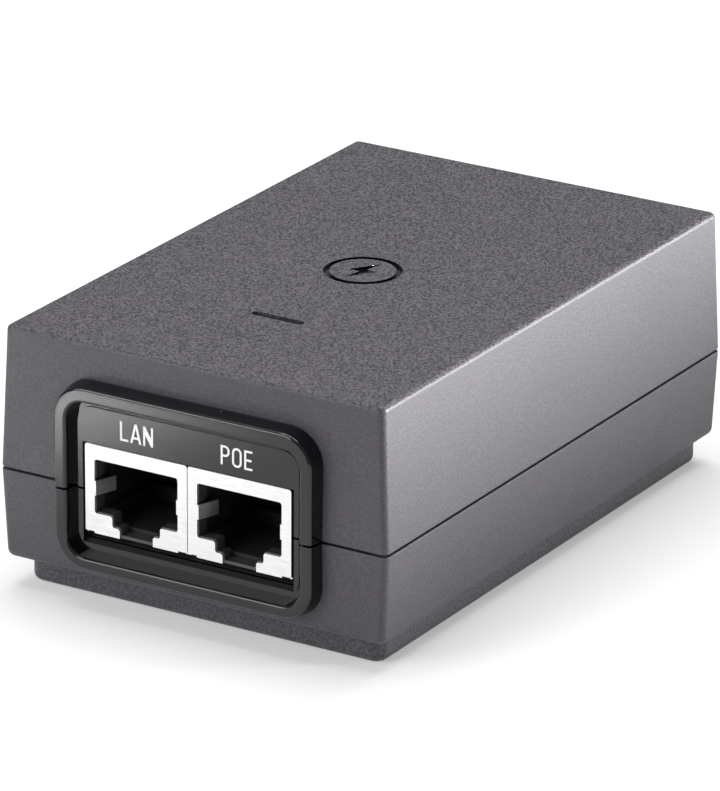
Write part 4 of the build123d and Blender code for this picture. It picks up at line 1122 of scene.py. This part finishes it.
class PrintPortWords(bpy.types.Operator):
    """Print the two plain port words on the panel above the jacks"""

    bl_idname = "injector.print_port_words"
    bl_label = "Port words"

    def execute(self, context):
        settings = context.scene.injector_words
        # two-part ink, pad printed: white, matt, a hair thick
        ink = moulded("white_pad_print", "#e9e9e9", "#f8f8f8", 0.2, 0.5, 0.003)
        jack_proud = 0.05 * MM  # the jacks' faces, in front of the panel
        sizes = [size / MM for size in (settings.height, settings.stroke, settings.thickness)]
        # word, its middle to the right of its jack's, its width, and its foot above the jack, in mm
        for word, aside, width, rise in (("LAN", 0.13, 4.74, 1.32), ("POE", -0.38, 4.48, 1.27)):
            jack = f"jack_shield_{word.lower()}"
            low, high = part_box(jack)
            left = middle(jack).x / MM + aside - width / 2
            foot = high[2] / MM + rise
            printed = write_word(word, left, left + width, foot, *sizes, low[1] + jack_proud)
            settle(printed, ink)
        return {"FINISHED"}


class BuildStage(bpy.types.Operator):
    """Add the floor, the lights and the camera"""

    bl_idname = "injector.build_stage"
    bl_label = "Studio"

    def execute(self, context):
        scene = context.scene
        settings = scene.injector_stage
        half = 3.0  # of the floor's side, in metres
        mesh = bpy.data.meshes.new("floor")
        corners = [(-half, -half), (half, -half), (half, half), (-half, half)]
        mesh.from_pydata([(x, y, -HAIR) for x, y in corners], [], [(0, 1, 2, 3)])
        # frosted acrylic lit from below, as on a light table: even, pale, no gloss
        acrylic = start_material(
            "frosted_acrylic",
            Roughness=0.9,
            Specular_IOR_Level=0.2,
            Emission_Strength=settings.floor_glow,
            Emission_Color=(1.0, 1.0, 1.0, 1.0),
            Base_Color=tuple(settings.floor_colour),
        )[0]
        mesh.materials.append(acrylic)
        mesh_object("floor", mesh)

        world = bpy.data.worlds.new("studio")
        scene.world = world
        world.use_nodes = True
        sky = world.node_tree.nodes["Background"].inputs
        sky["Color"].default_value = (1.0, 1.0, 1.0, 1.0)
        sky["Strength"].default_value = settings.sky_strength

        # name, place, the point it faces, width, height, watts, spread in degrees; lengths in metres
        for name, place, aim, width, height, power, spread in (
            ("overhead", (-0.05, 0.15, 0.7), (0, 0, 0), 0.6, 0.6, 4.6, 180),
            ("front_fill", (-0.30, -0.55, 0.32), (0, 0, 0.01), 0.4, 0.4, 2.4, 180),
            # a small pool on the floor at the front left, for the polished frame to mirror
            ("floor_pool", (-0.09, -0.11, 0.30), (-0.066, -0.100, 0.0), 0.02, 0.02, 0.045, 14),
            # a louvred strip, level with the roof's edge: its beam falls off down the side
            ("side_strip", (0.31, 0.24, 0.056), (0.027, 0.04, 0.050), 0.36, 0.02, 0.25, 16),
        ):
            light = bpy.data.lights.new(name, "AREA")
            light.shape = "RECTANGLE"
            light.size, light.size_y = width, height
            light.energy = power
            light.spread = math.radians(spread)
            lamp = bpy.data.objects.new(name, light)
            scene.collection.objects.link(lamp)
            lamp.location = place
            lamp.rotation_euler = (Vector(place) - Vector(aim)).to_track_quat("Z", "Y").to_euler()

        flat = math.cos(settings.elevation)
        side, front = math.sin(settings.azimuth), math.cos(settings.azimuth)
        back = Vector((side * flat, -front * flat, math.sin(settings.elevation)))
        right = Vector((0, 0, 1)).cross(back).normalized()
        turned = Matrix((right, back.cross(right), back)).transposed()
        turned = turned @ Matrix.Rotation(settings.roll, 3, "Z")
        lens = bpy.data.cameras.new("camera")
        lens.lens = settings.lens
        lens.sensor_width = 36.0
        lens.clip_start = 0.05
        camera = bpy.data.objects.new("camera", lens)
        scene.collection.objects.link(camera)
        stand = Vector(settings.aim) + settings.distance * back
        camera.matrix_world = Matrix.Translation(stand) @ turned.to_4x4()
        scene.camera = camera
        scene.view_settings.view_transform = "Standard"
        return {"FINISHED"}


OPERATORS = (
    FinishCase,
    FinishJacks,
    FinishInlet,
    FinishElectronics,
    WindCoils,
    SolderBoard,
    PlaceChips,
    PrintPortWords,
    BuildStage,
)


class InjectorPanel(bpy.types.Panel):
    """The steps that finish the injector"""

    bl_idname = "VIEW3D_PT_injector"
    bl_label = "Injector"
    bl_space_type = "VIEW_3D"
    bl_region_type = "UI"
    bl_category = "Injector"

    def draw(self, context):
        for step in OPERATORS:
            self.layout.operator(step.bl_idname)


def register():
    for made in (*SETTINGS.values(), *OPERATORS, InjectorPanel):
        bpy.utils.register_class(made)
    for name, group in SETTINGS.items():
        setattr(bpy.types.Scene, name, PointerProperty(type=group))


def unregister():
    for name in SETTINGS:
        delattr(bpy.types.Scene, name)
    for made in (InjectorPanel, *reversed(OPERATORS), *SETTINGS.values()):
        bpy.utils.unregister_class(made)


def main():
    """Register the add-on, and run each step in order."""
    register()
    for step in OPERATORS:
        group, call = step.bl_idname.split(".")
        getattr(getattr(bpy.ops, group), call)()


if __name__ == "__main__":
    main()
